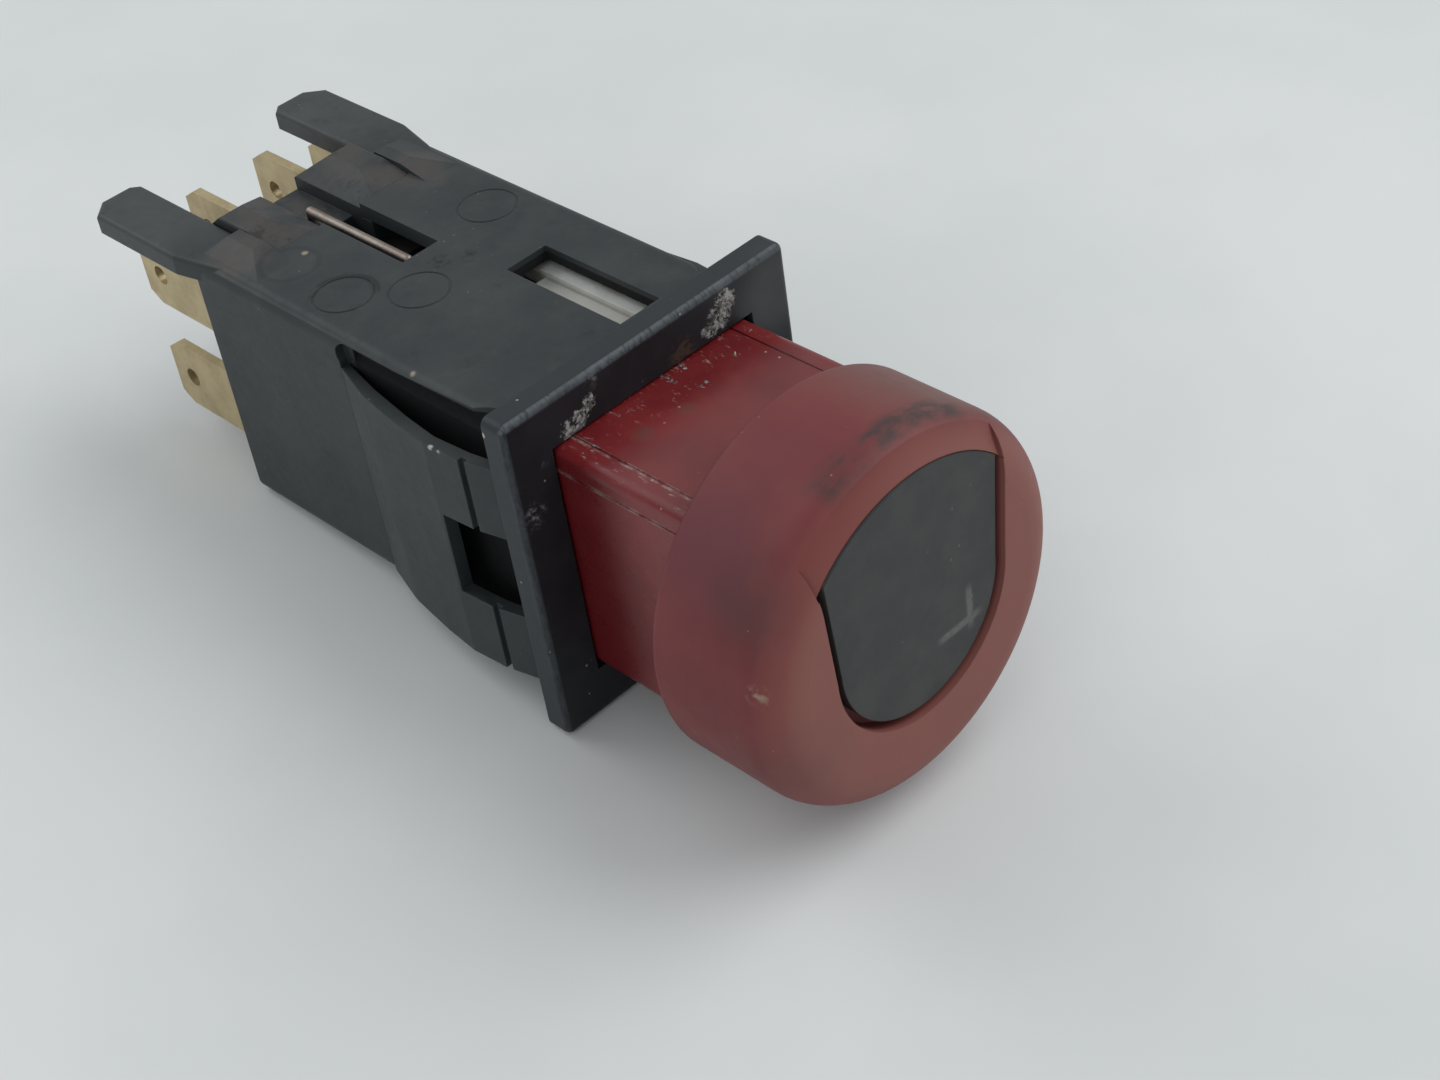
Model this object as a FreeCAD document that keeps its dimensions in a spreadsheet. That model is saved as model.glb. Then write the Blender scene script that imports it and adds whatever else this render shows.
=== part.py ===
import FreeCAD, Part
import Sketcher
import os
import re

# Latching emergency stop push switch for a snap-in panel cut-out.
# Frame: X to the right seen from the front, +Y back through the panel, +Z up.
# Origin: on the button's axis, in the plane of the bezel's rear face (the panel's front face).

doc = FreeCAD.newDocument("emergency_stop_button")

# ---------------------------------------------------------------- driving dimensions (mm)

DIMENSIONS = {
    # how far a cutting tool reaches past what it cuts, and how far joined pieces reach into each other
    "overcut": 1.0,
    "overlap": 0.1,
    # bezel frame
    "bezel_half_width": 13.85,
    "bezel_half_height": 14.4,
    "bezel_thick": 2.1,
    "bezel_edge_round": 0.5,
    "bezel_corner_round": 0.7,
    "seat_recess": 0.3,
    "cutout_half_width": 13.3,
    "cutout_half_height": 11.8,
    "clip_centre": 8.3,
    "clip_half_width": 0.8,
    "clip_depth": 3.6,
    "clip_inner": 10.85,
    "clip_gap": 0.15,
    "hook_low": 10.75,
    "hook_high": 11.25,
    "hook_gap": 0.1,
    # housing shell
    "shell_half_width": 11.4,
    "shell_top": 11.65,
    "shell_bottom": 11.4,
    "shell_rear": 38.3,
    "shell_edge_round": 1.2,
    "bore_half_width": 9.95,
    "bore_half_height": 10.35,
    "flank_half_width": 10.6,
    "flank_rear": 20.3,
    "brow_half_width": 10.9,
    "brow_relief": 0.8,
    "brow_relief_depth": 4.1,
    "brow_skin": 0.5,
    "brow_reach": 10.15,
    "brow_low": 9.6,
    "brow_foot": 9.1,
    "slit_setback": 0.95,
    "window_left": 2.1,
    "window_right": 6.1,
    "window_front": 3.4,
    "window_rear": 16.0,
    "latch_slot_left": -1.9,
    "latch_slot_right": 1.7,
    "latch_slot_front": 23.6,
    "latch_slot_floor_front": 35.0,
    "hump_slot_half_width": 6.9,
    "hump_slot_front": 33.5,
    "mark_radius": 2.5,
    "mark_width": 0.25,
    "mark_depth": 0.08,
    "left_mark_x": -7.4,
    "left_mark_y": 24.0,
    "right_mark_x": 7.3,
    "right_mark_y": 24.2,
    "middle_mark_x": -3.6,
    "middle_mark_y": 19.5,
    # guide arms above the terminals
    "arm_inner": 6.95,
    "arm_outer": 12.0,
    "arm_thick": 1.7,
    "arm_root": 36.0,
    "arm_blend": 3.0,
    "arm_root_inset": 0.35,
    "arm_flare_end": 40.2,
    "arm_tip": 52.4,
    "arm_tip_chamfer": 1.5,
    "arm_edge_round": 0.4,
    # snap wings
    "wing_top": 8.8,
    "wing_bottom": 11.0,
    "wing_front": 0.4,
    "wing_hinge_offset": 10.95,
    "wing_hinge_radius": 0.25,
    "wing_hinge_clearance": 0.05,
    "wing_seam": 0.03,
    "wing_thick": 1.1,
    "wing_curve": 8.0,
    "wing_nose_thick": 0.85,
    "wing_nose_outer": 12.7,
    "wing_shoulder_outer": 13.5,
    "wing_shoulder": 11.2,
    "wing_peak_outer": 13.85,
    "wing_peak": 7.8,
    "wing_heel_outer": 13.58,
    "wing_heel": 4.2,
    "wing_bend_outer": 12.75,
    "wing_bend": 16.0,
    "groove_front": 3.7,
    "groove_width": 0.62,
    "groove_depth": 0.45,
    "wing_window_front": 1.1,
    "wing_window_rear": 7.5,
    "wing_window_top": 2.5,
    "wing_window_bottom": 4.9,
    # button stem and head
    "travel": 6.0,
    "stem_half_width": 9.7,
    "stem_half_height": 10.1,
    "stem_wall": 1.4,
    "stem_round": 0.9,
    "stem_line_width": 0.16,
    "stem_line_depth": 0.1,
    "stem_line_inset": 1.8,
    "stem_line_drop": 1.75,
    "stem_rear": 2.6,
    "stem_front": 22.5,
    "head_radius": 14.8,
    "head_rear": 15.0,
    "head_front": 26.4,
    "head_front_round": 3.4,
    "head_rear_round": 0.6,
    "head_cavity_radius": 13.65,
    "head_cavity_front": 22.5,
    "head_rib_half_width": 1.0,
    "head_rib_rear": 16.5,
    # inset plate in the head's face
    "recess_radius": 8.55,
    "recess_centre": 0.7,
    "recess_flare": 9.5,
    "recess_flare_height": 11.5,
    "recess_floor": 24.8,
    "recess_gap": 0.7,
    "plate_top_radius": 12.4,
    "plate_front": 26.1,
    "plate_fit": 0.05,
    "scoop_rear": 24.85,
    "scoop_front": 25.95,
    "scoop_rear_radius": 14.3,
    # slider
    "slider_half_width": 9.5,
    "slider_half_height": 9.7,
    "slider_wall": 1.5,
    "slider_rear": 20.6,
    "spigot_half_width": 8.2,
    "spigot_half_height": 8.6,
    "spigot_front": 6.0,
    "web_front": 12.0,
    "web_thick": 1.6,
    "web_bore": 4.4,
    "boss_inner": 6.5,
    "boss_half_width": 2.0,
    "tongue_half_width": 4.0,
    "tongue_end": 26.0,
    "tongue_under": 8.3,
    "gap_left": 1.6,
    "gap_front": 15.9,
    "gap_rear": 18.6,
    "ledge_right": 5.4,
    "ledge_depth": 0.6,
    # latch
    "latch_x": -1.0,
    "latch_wire": 0.4,
    "latch_height": 11.2,
    "latch_pivot": 36.5,
    "latch_tip": 24.2,
    "latch_tip_low": 8.85,
    "latch_foot_low": 7.5,
    "latch_foot_clearance": 0.05,
    "latch_shift": 1.5,
    "track_radius": 0.65,
    "track_floor": 8.7,
    "track_seat": 19.8,
    # return spring
    "spring_radius": 5.6,
    "spring_wire": 0.3,
    "spring_turns": 6.0,
    # contact springs and bridges
    "bridge_front": 21.6,
    "bridge_thick": 0.5,
    "bridge_inner": 6.9,
    "bridge_outer": 9.5,
    "side_bridge_top": 7.2,
    "side_bridge_bottom": 6.8,
    "low_bridge_half_width": 5.2,
    "low_bridge_top": 7.0,
    "low_bridge_bottom": 9.2,
    "guide_width": 1.0,
    "contact_spring_front": 15.0,
    "contact_spring_radius": 0.95,
    "contact_spring_wire": 0.18,
    "contact_spring_turns": 7.0,
    "contact_spring_bore": 1.25,
    "contact_spring_offset": 8.1,
    "rivet_radius": 0.9,
    "rivet_height": 0.35,
    "low_contact_inset": 0.45,
    # terminal block
    "block_half_width": 9.85,
    "block_half_height": 10.25,
    "block_front": 29.5,
    "block_top_front": 32.3,
    "block_step_height": 7.9,
    "boss_rear": 42.3,
    "boss_side": 6.7,
    "boss_top": 10.0,
    "boss_bottom": 9.5,
    "hump_half_width": 6.86,
    "hump_front": 33.54,
    "hump_rise": 37.0,
    "hump_top": 12.3,
    "hump_fall": 40.6,
    "hump_edge_round": 0.3,
    "hump_crest_inner": 4.6,
    "hump_dip": 11.15,
    "shoulder_front": 31.2,
    "shoulder_rise": 34.4,
    "shoulder_fall": 37.7,
    "shoulder_crest": 8.1,
    "shoulder_outer": 10.2,
    "latch_floor": 9.9,
    # blade terminals
    "blade_width": 6.3,
    "blade_thick": 0.8,
    "blade_tip": 50.7,
    "blade_tip_chamfer": 0.9,
    "blade_tip_taper": 1.4,
    "blade_hole_radius": 0.85,
    "blade_hole_setback": 2.5,
    "outer_column": 9.05,
    "inner_column": 3.5,
    "outer_upper_height": 5.4,
    "inner_upper_height": 7.0,
    "outer_lower_height": -5.0,
    "inner_lower_height": -6.6,
    "blade_front": 29.5,
    "inner_upper_front": 33.6,
    "foot_front": 28.85,
    "foot_reach": 2.1,
    "foot_half_height": 1.5,
    "low_foot_height": -8.1,
    "low_foot_half_height": 1.1,
    # lamp
    "lamp_tube_radius": 4.0,
    "lamp_tube_bore": 3.1,
    "lamp_tube_front": 3.0,
    "lamp_tube_rear": 33.0,
    "lamp_cap_radius": 2.2,
    "lamp_cap_front": 3.0,
    "lamp_cap_rear": 5.0,
    "bulb_radius": 2.3,
    "bulb_front": 12.0,
    "lamp_strip_inner": 2.3,
    "lamp_strip_thick": 0.5,
    "lamp_strip_half_width": 1.0,
    "lamp_strip_rear": 33.6,
    "lamp_foot_top": 5.0,
}

sheet = doc.addObject("Spreadsheet::Sheet", "sizes")
for row, (alias, value) in enumerate(DIMENSIONS.items(), start=1):
    sheet.set(f"A{row}", alias)
    sheet.set(f"B{row}", str(value))
    sheet.setAlias(f"B{row}", alias)
doc.recompute()

ALIAS = re.compile(r"[a-z][a-z_]+")

# how closely an edge must match the height or direction it is looked up by (mm, or the sine of an angle)
MATCH = 1e-4


def cells(text):
    """Point every alias in an expression at the sheet."""
    return ALIAS.sub(lambda word: "sizes." + word.group(0), str(text))


def value(text):
    """The number that an expression of aliases stands for."""
    return float(doc.getObject("sizes").evalExpression(cells(text)))


# ---------------------------------------------------------------- shape helpers

AXES = {
    "x": FreeCAD.Rotation(FreeCAD.Vector(0, 1, 0), 90),
    "y": FreeCAD.Rotation(FreeCAD.Vector(1, 0, 0), -90),
    "z": FreeCAD.Rotation(),
}


def put(item, x, y, z):
    """Bind an object's place to the sheet."""
    for axis, text in (("x", x), ("y", y), ("z", z)):
        item.setExpression("Placement.Base." + axis, cells(text))
    return item


def box(name, x, y, z):
    """A block from the low to the high expression on each axis."""
    block = doc.addObject("Part::Box", name)
    put(block, x[0], y[0], z[0])
    for side, (low, high) in zip(("Length", "Width", "Height"), (x, y, z)):
        block.setExpression(side, cells(f"({high}) - ({low})"))
    return block


def rod(name, axis, radius, length, x, y, z):
    """A cylinder along an axis, from its base centre."""
    round_bar = doc.addObject("Part::Cylinder", name)
    round_bar.Placement.Rotation = AXES[axis]
    round_bar.setExpression("Radius", cells(radius))
    round_bar.setExpression("Height", cells(length))
    return put(round_bar, x, y, z)


def prism(name, plane, corners, low, high):
    """A straight-sided outline in the XY, XZ or YZ plane, padded between two heights."""
    body = doc.addObject("PartDesign::Body", name)
    sketch = body.newObject("Sketcher::SketchObject", name + "_outline")
    origin_plane = next(item for item in body.Origin.OriginFeatures if item.Role == plane + "_Plane")
    sketch.AttachmentSupport = [(origin_plane, "")]
    sketch.MapMode = "FlatFace"
    turn = -1.0 if plane == "XZ" else 1.0
    points = [FreeCAD.Vector(value(u), value(v), 0) for u, v in corners]
    count = len(points)
    for number in range(count):
        sketch.addGeometry(Part.LineSegment(points[number], points[(number + 1) % count]), False)
    for number, (u, v) in enumerate(corners):
        sketch.addConstraint(Sketcher.Constraint("Coincident", number, 2, (number + 1) % count, 1))
        across = sketch.addConstraint(Sketcher.Constraint("DistanceX", -1, 1, number, 1, points[number].x))
        sketch.setExpression(f"Constraints[{across}]", cells(u))
        upward = sketch.addConstraint(Sketcher.Constraint("DistanceY", -1, 1, number, 1, points[number].y))
        sketch.setExpression(f"Constraints[{upward}]", cells(v))
    start = low if turn > 0 else f"-({low})"
    sketch.setExpression("AttachmentOffset.Base.z", cells(start))
    pad = body.newObject("PartDesign::Pad", name + "_pad")
    pad.Profile = sketch
    pad.Reversed = turn < 0
    pad.setExpression("Length", cells(f"({high}) - ({low})"))
    doc.recompute()
    return body


def fuse(name, pieces):
    """Join pieces into one."""
    joined = doc.addObject("Part::MultiFuse", name)
    joined.Shapes = pieces
    joined.Refine = True
    return joined


def cut(name, base, tools):
    """Take tools away from a base."""
    tool = tools[0]
    if len(tools) > 1:
        tool = doc.addObject("Part::Compound", name + "_tools")
        tool.Links = tools
    result = doc.addObject("Part::Cut", name)
    result.Base = base
    result.Tool = tool
    result.Refine = True
    return result


def common(name, first, second):
    """Keep what two pieces share."""
    result = doc.addObject("Part::MultiCommon", name)
    result.Shapes = [first, second]
    return result


def rounded(name, base, radius, wanted):
    """Round the edges that the test picks."""
    doc.recompute()
    size = value(radius)
    edges = [(number, size, size) for number, edge in enumerate(base.Shape.Edges, start=1) if wanted(edge)]
    if not edges:
        raise ValueError("no edge to round on " + name)
    result = doc.addObject("Part::Fillet", name)
    result.Base = base
    result.Edges = edges
    return result


def mirrored(name, source):
    """The same piece on the other side of the middle plane."""
    twin = doc.addObject("Part::Mirroring", name)
    twin.Source = source
    twin.Normal = FreeCAD.Vector(1, 0, 0)
    return twin


def helix_wire(name, radius, wire, turns, start, length, x, z):
    """A coil spring about an axis along Y, with its ends lying flat against their seats."""
    rise = value(length) - 2 * value(wire)
    coil = Part.makeHelix(rise / value(turns), rise, value(radius))
    section = Part.Wire(Part.makeCircle(
        value(wire),
        FreeCAD.Vector(value(radius), 0, 0),
        FreeCAD.Vector(0, 1, 0),
    ))
    swept = Part.Wire(coil.Edges).makePipeShell([section], True, True)
    spring = doc.addObject("Part::Feature", name)
    spring.Shape = swept
    spring.Placement = FreeCAD.Placement(
        FreeCAD.Vector(value(x), value(start) + value(wire), value(z)),
        AXES["y"],
    )
    return spring


def along(edge, axis):
    """True for a straight edge parallel to an axis."""
    if not isinstance(edge.Curve, Part.Line):
        return False
    return abs(abs(edge.Curve.Direction.dot(axis)) - 1) < MATCH


X_AXIS = FreeCAD.Vector(1, 0, 0)
Y_AXIS = FreeCAD.Vector(0, 1, 0)
Z_AXIS = FreeCAD.Vector(0, 0, 1)

subparts = {}


def keep(node, item):
    """Name a finished sub-part."""
    item.Label = node
    subparts[node] = item


# ---------------------------------------------------------------- housing shell


def both_sides(name, right):
    """A right-hand piece with its mirror image."""
    return [right, mirrored(name, right)]


def arm():
    """The right guide arm: a flat finger that runs back over the terminals."""
    plan = [
        ("arm_inner", "arm_root - arm_blend"),
        ("arm_inner", "arm_tip - arm_tip_chamfer / 2"),
        ("arm_inner + arm_tip_chamfer / 2", "arm_tip"),
        ("arm_outer - arm_tip_chamfer", "arm_tip"),
        ("arm_outer", "arm_tip - arm_tip_chamfer"),
        ("arm_outer", "arm_flare_end"),
        ("shell_half_width - arm_root_inset", "arm_root"),
        ("shell_half_width - shell_edge_round", "arm_root - arm_blend"),
    ]
    finger = prism("arm_finger", "XY", plan, "shell_top - arm_thick", "shell_top")
    top = value("shell_top")
    root = value("arm_root")

    def on_top(edge):
        middle = edge.CenterOfMass
        return abs(middle.z - top) < MATCH and middle.y > root and middle.x > value("arm_inner - overcut")

    return rounded("arm_softened", finger, "arm_edge_round", on_top)


def shoulder():
    """The right swelling of the roof beside the terminal block's hump."""
    across = [
        ("hump_slot_half_width", "shell_top - overcut"),
        ("shoulder_outer", "shell_top - overcut"),
        ("shoulder_outer", "shell_top"),
        ("shoulder_crest", "hump_top"),
        ("hump_slot_half_width", "hump_top"),
    ]
    back = [
        ("shoulder_front", "shell_top - overcut"),
        ("shell_rear", "shell_top - overcut"),
        ("shell_rear", "shell_top"),
        ("shoulder_fall", "hump_top"),
        ("shoulder_rise", "hump_top"),
        ("shoulder_front", "shell_top"),
    ]
    return common(
        "shoulder",
        prism("shoulder_across", "XZ", across, "shoulder_front", "shell_rear"),
        prism("shoulder_back", "YZ", back, "hump_slot_half_width", "shoulder_outer"),
    )


def side_relief():
    """What is taken off the right flank to leave room for its snap wing."""
    flank = box(
        "flank_cut",
        ("flank_half_width", "shell_half_width + 2 * overcut"),
        ("-overcut", "flank_rear"),
        ("-shell_bottom - overcut", "bore_half_height"),
    )
    slit_end = rod(
        "slit_end", "x", "(shell_top - brow_skin - wing_top) / 2", "3",
        "flank_half_width", "flank_rear - slit_setback", "(shell_top - brow_skin + wing_top) / 2",
    )
    under_plan = [
        ("brow_reach", "brow_low"),
        ("flank_half_width", "brow_foot"),
        ("shell_half_width + overcut", "brow_foot"),
        ("shell_half_width + overcut", "shell_top - brow_skin"),
        ("brow_reach", "shell_top - brow_skin"),
    ]
    under = prism("brow_undercut", "XZ", under_plan, "-overcut", "flank_rear - slit_setback")
    socket = rod(
        "wing_socket", "z", "wing_hinge_radius + wing_hinge_clearance", "wing_top + shell_bottom + overcut",
        "wing_hinge_offset", "flank_rear", "-shell_bottom - overcut",
    )
    brow_plan = [
        ("brow_half_width - brow_relief", "-overcut"),
        ("shell_half_width + overcut", "-overcut"),
        ("shell_half_width + overcut", "flank_rear"),
        ("shell_half_width", "flank_rear"),
        ("brow_half_width", "brow_relief_depth + brow_relief"),
        ("brow_half_width - brow_relief / 2", "brow_relief_depth"),
        ("brow_half_width - brow_relief", "brow_relief_depth - brow_relief"),
    ]
    brow = prism("brow_cut", "XY", brow_plan, "bore_half_height - overlap", "shell_top + overcut")
    return [flank, slit_end, under, socket, brow]


def ring_mark(name, x, y):
    """A shallow round mark where an ejector pin pushed the moulding out."""
    disc = rod(name + "_disc", "z", "mark_radius", "overcut", x, y, "shell_top - mark_depth")
    inner = "mark_radius - mark_width"
    core = rod(name + "_core", "z", inner, "2 * overcut", x, y, "shell_top - mark_depth")
    return cut(name, disc, [core])


def clip_space(name, gap, low, high, front, rear):
    """The right clip's block between two heights, with a gap all round."""
    sides = (f"clip_centre - clip_half_width - {gap}", f"clip_centre + clip_half_width + {gap}")
    return box(name, sides, (front, rear), (low, high))


def housing():
    block = box(
        "shell_block",
        ("-shell_half_width", "shell_half_width"),
        ("-seat_recess", "shell_rear"),
        ("-shell_bottom", "shell_top"),
    )
    shell = rounded("shell_rounded", block, "shell_edge_round", lambda edge: along(edge, Y_AXIS))
    additions = both_sides("left_arm", arm()) + both_sides("left_shoulder", shoulder())
    body = fuse("shell_with_arms", [shell] + additions)
    tools = [
        box("shell_bore", ("-bore_half_width", "bore_half_width"), ("-overcut", "shell_rear + overcut"),
            ("-bore_half_height", "bore_half_height")),
        box("window", ("window_left", "window_right"), ("window_front", "window_rear"),
            ("bore_half_height - overcut", "shell_top + overcut")),
        box("latch_slot", ("latch_slot_left", "latch_slot_right"),
            ("latch_slot_front", "hump_slot_front + overcut"),
            ("bore_half_height - overcut", "shell_top + overcut")),
        box("hump_slot", ("-hump_slot_half_width", "hump_slot_half_width"),
            ("hump_slot_front", "shell_rear + overcut"),
            ("bore_half_height - overcut", "shell_top + overcut")),
        ring_mark("left_mark", "left_mark_x", "left_mark_y"),
        ring_mark("right_mark", "right_mark_x", "right_mark_y"),
        ring_mark("middle_mark", "middle_mark_x", "middle_mark_y"),
    ]
    for number, piece in enumerate(side_relief()):
        tools += both_sides(f"left_relief_{number}", piece)
    tools += both_sides("left_top_hook_space", clip_space(
        "top_hook_space", "hook_gap", "hook_low - hook_gap", "hook_high + hook_gap",
        "-overcut", "clip_depth + hook_gap"))
    tools += both_sides("left_low_clip_space", clip_space(
        "low_clip_space", "clip_gap", "-shell_bottom - overcut", "-clip_inner",
        "-overcut", "clip_depth + clip_gap"))
    keep("housing", cut("housing_shell", body, tools))


# ---------------------------------------------------------------- bezel frame


def bezel_frame():
    plate = box(
        "bezel_plate",
        ("-bezel_half_width", "bezel_half_width"),
        ("-bezel_thick", "0"),
        ("-bezel_half_height", "bezel_half_height"),
    )
    plate = rounded("bezel_corners", plate, "bezel_corner_round", lambda edge: along(edge, Y_AXIS))
    front = -value("bezel_thick")
    plate = rounded(
        "bezel_edges", plate, "bezel_edge_round",
        lambda edge: all(abs(point.y - front) < MATCH for point in edge.discretize(3)),
    )
    behind = box(
        "seat_relief",
        ("-cutout_half_width", "cutout_half_width"),
        ("-seat_recess", "overcut"),
        ("-cutout_half_height", "cutout_half_height"),
    )
    plate = cut("bezel_seat", plate, [behind])
    clips = both_sides("left_top_hook", clip_space(
        "top_hook", "0", "hook_low", "hook_high", "-overcut", "clip_depth"))
    clips += both_sides("left_low_clip", clip_space(
        "low_clip", "0", "-shell_bottom", "-clip_inner", "-overcut", "clip_depth"))
    frame = fuse("bezel_with_clips", [plate] + clips)
    opening = box(
        "bezel_opening",
        ("-bore_half_width", "bore_half_width"),
        ("-bezel_thick - overcut", "clip_depth + overcut"),
        ("-bore_half_height", "bore_half_height"),
    )
    keep("bezel_frame", cut("bezel", frame, [opening]))


# ---------------------------------------------------------------- snap wings


def snap_wings():
    """Springy side walls that grip the panel's cut-out; the right one is drawn, the left mirrored."""
    plan = [
        ("shell_half_width", "flank_rear - wing_seam"),
        ("wing_bend_outer", "wing_bend"),
        ("wing_shoulder_outer", "wing_shoulder"),
        ("wing_peak_outer", "wing_peak"),
        ("wing_heel_outer", "wing_heel"),
        ("wing_nose_outer", "wing_front"),
        ("wing_nose_outer - wing_nose_thick", "wing_front"),
        ("wing_heel_outer - wing_thick", "wing_heel"),
        ("wing_peak_outer - wing_thick", "wing_peak"),
        ("wing_shoulder_outer - wing_thick", "wing_shoulder"),
        ("wing_bend_outer - wing_thick", "wing_bend"),
        ("wing_hinge_offset - wing_hinge_radius", "flank_rear - wing_seam"),
    ]
    leaf = prism("wing_leaf", "XY", plan, "-wing_bottom", "wing_top")
    bend = value("wing_bend")
    shoulder = value("wing_shoulder")

    def at_bend(edge):
        middle = edge.CenterOfMass
        near = min(abs(middle.y - bend), abs(middle.y - shoulder)) < 0.1
        return near and along(edge, Z_AXIS)

    leaf = rounded("wing_curved", leaf, "wing_curve", at_bend)
    root = rod("wing_root", "z", "wing_hinge_radius", "wing_top + wing_bottom",
               "wing_hinge_offset", "flank_rear", "-wing_bottom")
    blank = fuse("wing_blank", [leaf, root])
    groove = box(
        "wing_groove",
        ("wing_heel_outer - groove_depth", "wing_peak_outer + overcut"),
        ("groove_front", "groove_front + groove_width"),
        ("-wing_bottom - overcut", "wing_top + overcut"),
    )
    window = box(
        "wing_window",
        ("wing_hinge_offset", "wing_peak_outer + overcut"),
        ("wing_window_front", "wing_window_rear"),
        ("-wing_window_bottom", "wing_window_top"),
    )
    right = cut("right_wing", blank, [groove, window])
    keep("right_snap_wing", right)
    keep("left_snap_wing", mirrored("left_wing", right))


# ---------------------------------------------------------------- button: stem, head and inset plate


def stem():
    outer = box(
        "stem_block",
        ("-stem_half_width", "stem_half_width"),
        ("-stem_front", "stem_rear"),
        ("-stem_half_height", "stem_half_height"),
    )
    outer = rounded("stem_rounded", outer, "stem_round", lambda edge: along(edge, Y_AXIS))
    inner = box(
        "stem_bore",
        ("-stem_half_width + stem_wall", "stem_half_width - stem_wall"),
        ("-stem_front - overcut", "stem_rear + overcut"),
        ("-stem_half_height + stem_wall", "stem_half_height - stem_wall"),
    )
    length = ("-stem_front - overcut", "stem_rear + overcut")
    top_line = box(
        "stem_top_line",
        ("stem_half_width - stem_line_inset - stem_line_width", "stem_half_width - stem_line_inset"),
        length,
        ("stem_half_height - stem_line_depth", "stem_half_height + overcut"),
    )
    side_line = box(
        "stem_side_line",
        ("stem_half_width - stem_line_depth", "stem_half_width + overcut"),
        length,
        ("stem_half_height - stem_line_drop - stem_line_width", "stem_half_height - stem_line_drop"),
    )
    lines = both_sides("left_stem_top_line", top_line) + both_sides("left_stem_side_line", side_line)
    keep("stem", cut("stem_tube", outer, [inner] + lines))


def rim_plan(radius, flare, height):
    """The straight, slightly spreading sides of the inset, from its round end up."""
    return [
        (f"-({radius})", "recess_centre"),
        (radius, "recess_centre"),
        (flare, height),
        (f"-({flare})", height),
    ]


def inset(name, inward, top_radius, front, rear):
    """The inset's outline between two depths: round below, spreading sides, round top."""
    radius = f"recess_radius - {inward}"
    depth = f"({front}) - ({rear})"
    round_end = rod(name + "_round", "y", radius, depth, "0", f"-({front})", "recess_centre")
    sides = prism(
        name + "_sides", "XZ",
        rim_plan(radius, f"recess_flare - {inward}", "recess_flare_height + 2 * overcut"),
        f"-({front})", f"-({rear})",
    )
    limit = rod(name + "_limit", "y", top_radius, depth, "0", f"-({front})", "0")
    return common(name, fuse(name + "_whole", [round_end, sides]), limit)


def head():
    drum = rod("head_drum", "y", "head_radius", "head_front - head_rear", "0", "-head_front", "0")
    front = -value("head_front")
    rear = -value("head_rear")

    def at_depth(depth):
        return lambda edge: all(abs(point.y - depth) < MATCH for point in edge.discretize(5))

    drum = rounded("head_front_rounded", drum, "head_front_round", at_depth(front))
    drum = rounded("head_rounded", drum, "head_rear_round", at_depth(rear))
    cavity = rod("head_cavity", "y", "head_cavity_radius", "head_cavity_front",
                 "0", "-head_cavity_front", "0")
    shell = cut("head_shell", drum, [cavity])
    ribs = []
    for number, (side, reach) in enumerate((("stem_half_width", "x"), ("stem_half_height", "z"))):
        width = ("-head_rib_half_width", "head_rib_half_width")
        depth = ("-head_cavity_front", "-head_rib_rear")
        for sign in ("", "-"):
            near, far = f"{sign}({side})", f"{sign}(head_cavity_radius + 2 * overlap)"
            span = (near, far) if not sign else (far, near)
            x, z = (span, width) if reach == "x" else (width, span)
            ribs.append(box(f"head_rib_{number}{'b' if sign else 'a'}", x, depth, z))
    solid = fuse("head_with_ribs", [shell] + ribs)
    recess = inset("recess", "0", "plate_top_radius + plate_fit", "head_front + overcut", "recess_floor")
    over = prism(
        "scoop_space", "XZ",
        rim_plan("recess_radius", "recess_flare", "recess_flare_height")[:2] + [
            ("recess_flare + (recess_flare - recess_radius) / 3", "head_radius + overcut"),
            ("-recess_flare - (recess_flare - recess_radius) / 3", "head_radius + overcut"),
        ],
        "-head_front - overcut", "-scoop_rear",
    )
    slope = doc.addObject("Part::Cone", "scoop_slope")
    slope.Placement.Rotation = AXES["y"]
    slope.setExpression("Radius1", cells("plate_top_radius"))
    slope.setExpression("Radius2", cells("scoop_rear_radius"))
    slope.setExpression("Height", cells("scoop_front - scoop_rear"))
    put(slope, "0", "-scoop_front", "0")
    core = rod("scoop_core", "y", "plate_top_radius", "head_front + overcut - scoop_front",
               "0", "-head_front - overcut", "0")
    scoop = cut("scoop", over, [slope, core])
    keep("head", cut("mushroom_head", solid, [recess, scoop]))
    keep("inset_plate", inset("plate", "recess_gap", "plate_top_radius", "plate_front", "recess_floor"))


# ---------------------------------------------------------------- slider


def track_piece(name, start, end):
    """A round-ended stretch of the latch track between two points."""
    first = FreeCAD.Vector(value(start[0]), value(start[1]), 0)
    last = FreeCAD.Vector(value(end[0]), value(end[1]), 0)
    run = last - first
    channel = doc.addObject("Part::Box", name + "_channel")
    channel.setExpression("Width", cells("2 * track_radius"))
    channel.setExpression("Height", cells("slider_half_height + overcut - track_floor"))
    channel.Length = run.Length
    side = FreeCAD.Vector(run.y, -run.x, 0).normalize() * value("track_radius")
    base = first + side + FreeCAD.Vector(0, 0, value("track_floor"))
    channel.Placement = FreeCAD.Placement(base, FreeCAD.Rotation(X_AXIS, run))
    ends = []
    for mark, (x, y) in (("start", start), ("end", end)):
        ends.append(rod(f"{name}_{mark}", "z", "track_radius", "slider_half_height + overcut - track_floor",
                        x, y, "track_floor"))
    return [channel] + ends


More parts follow.
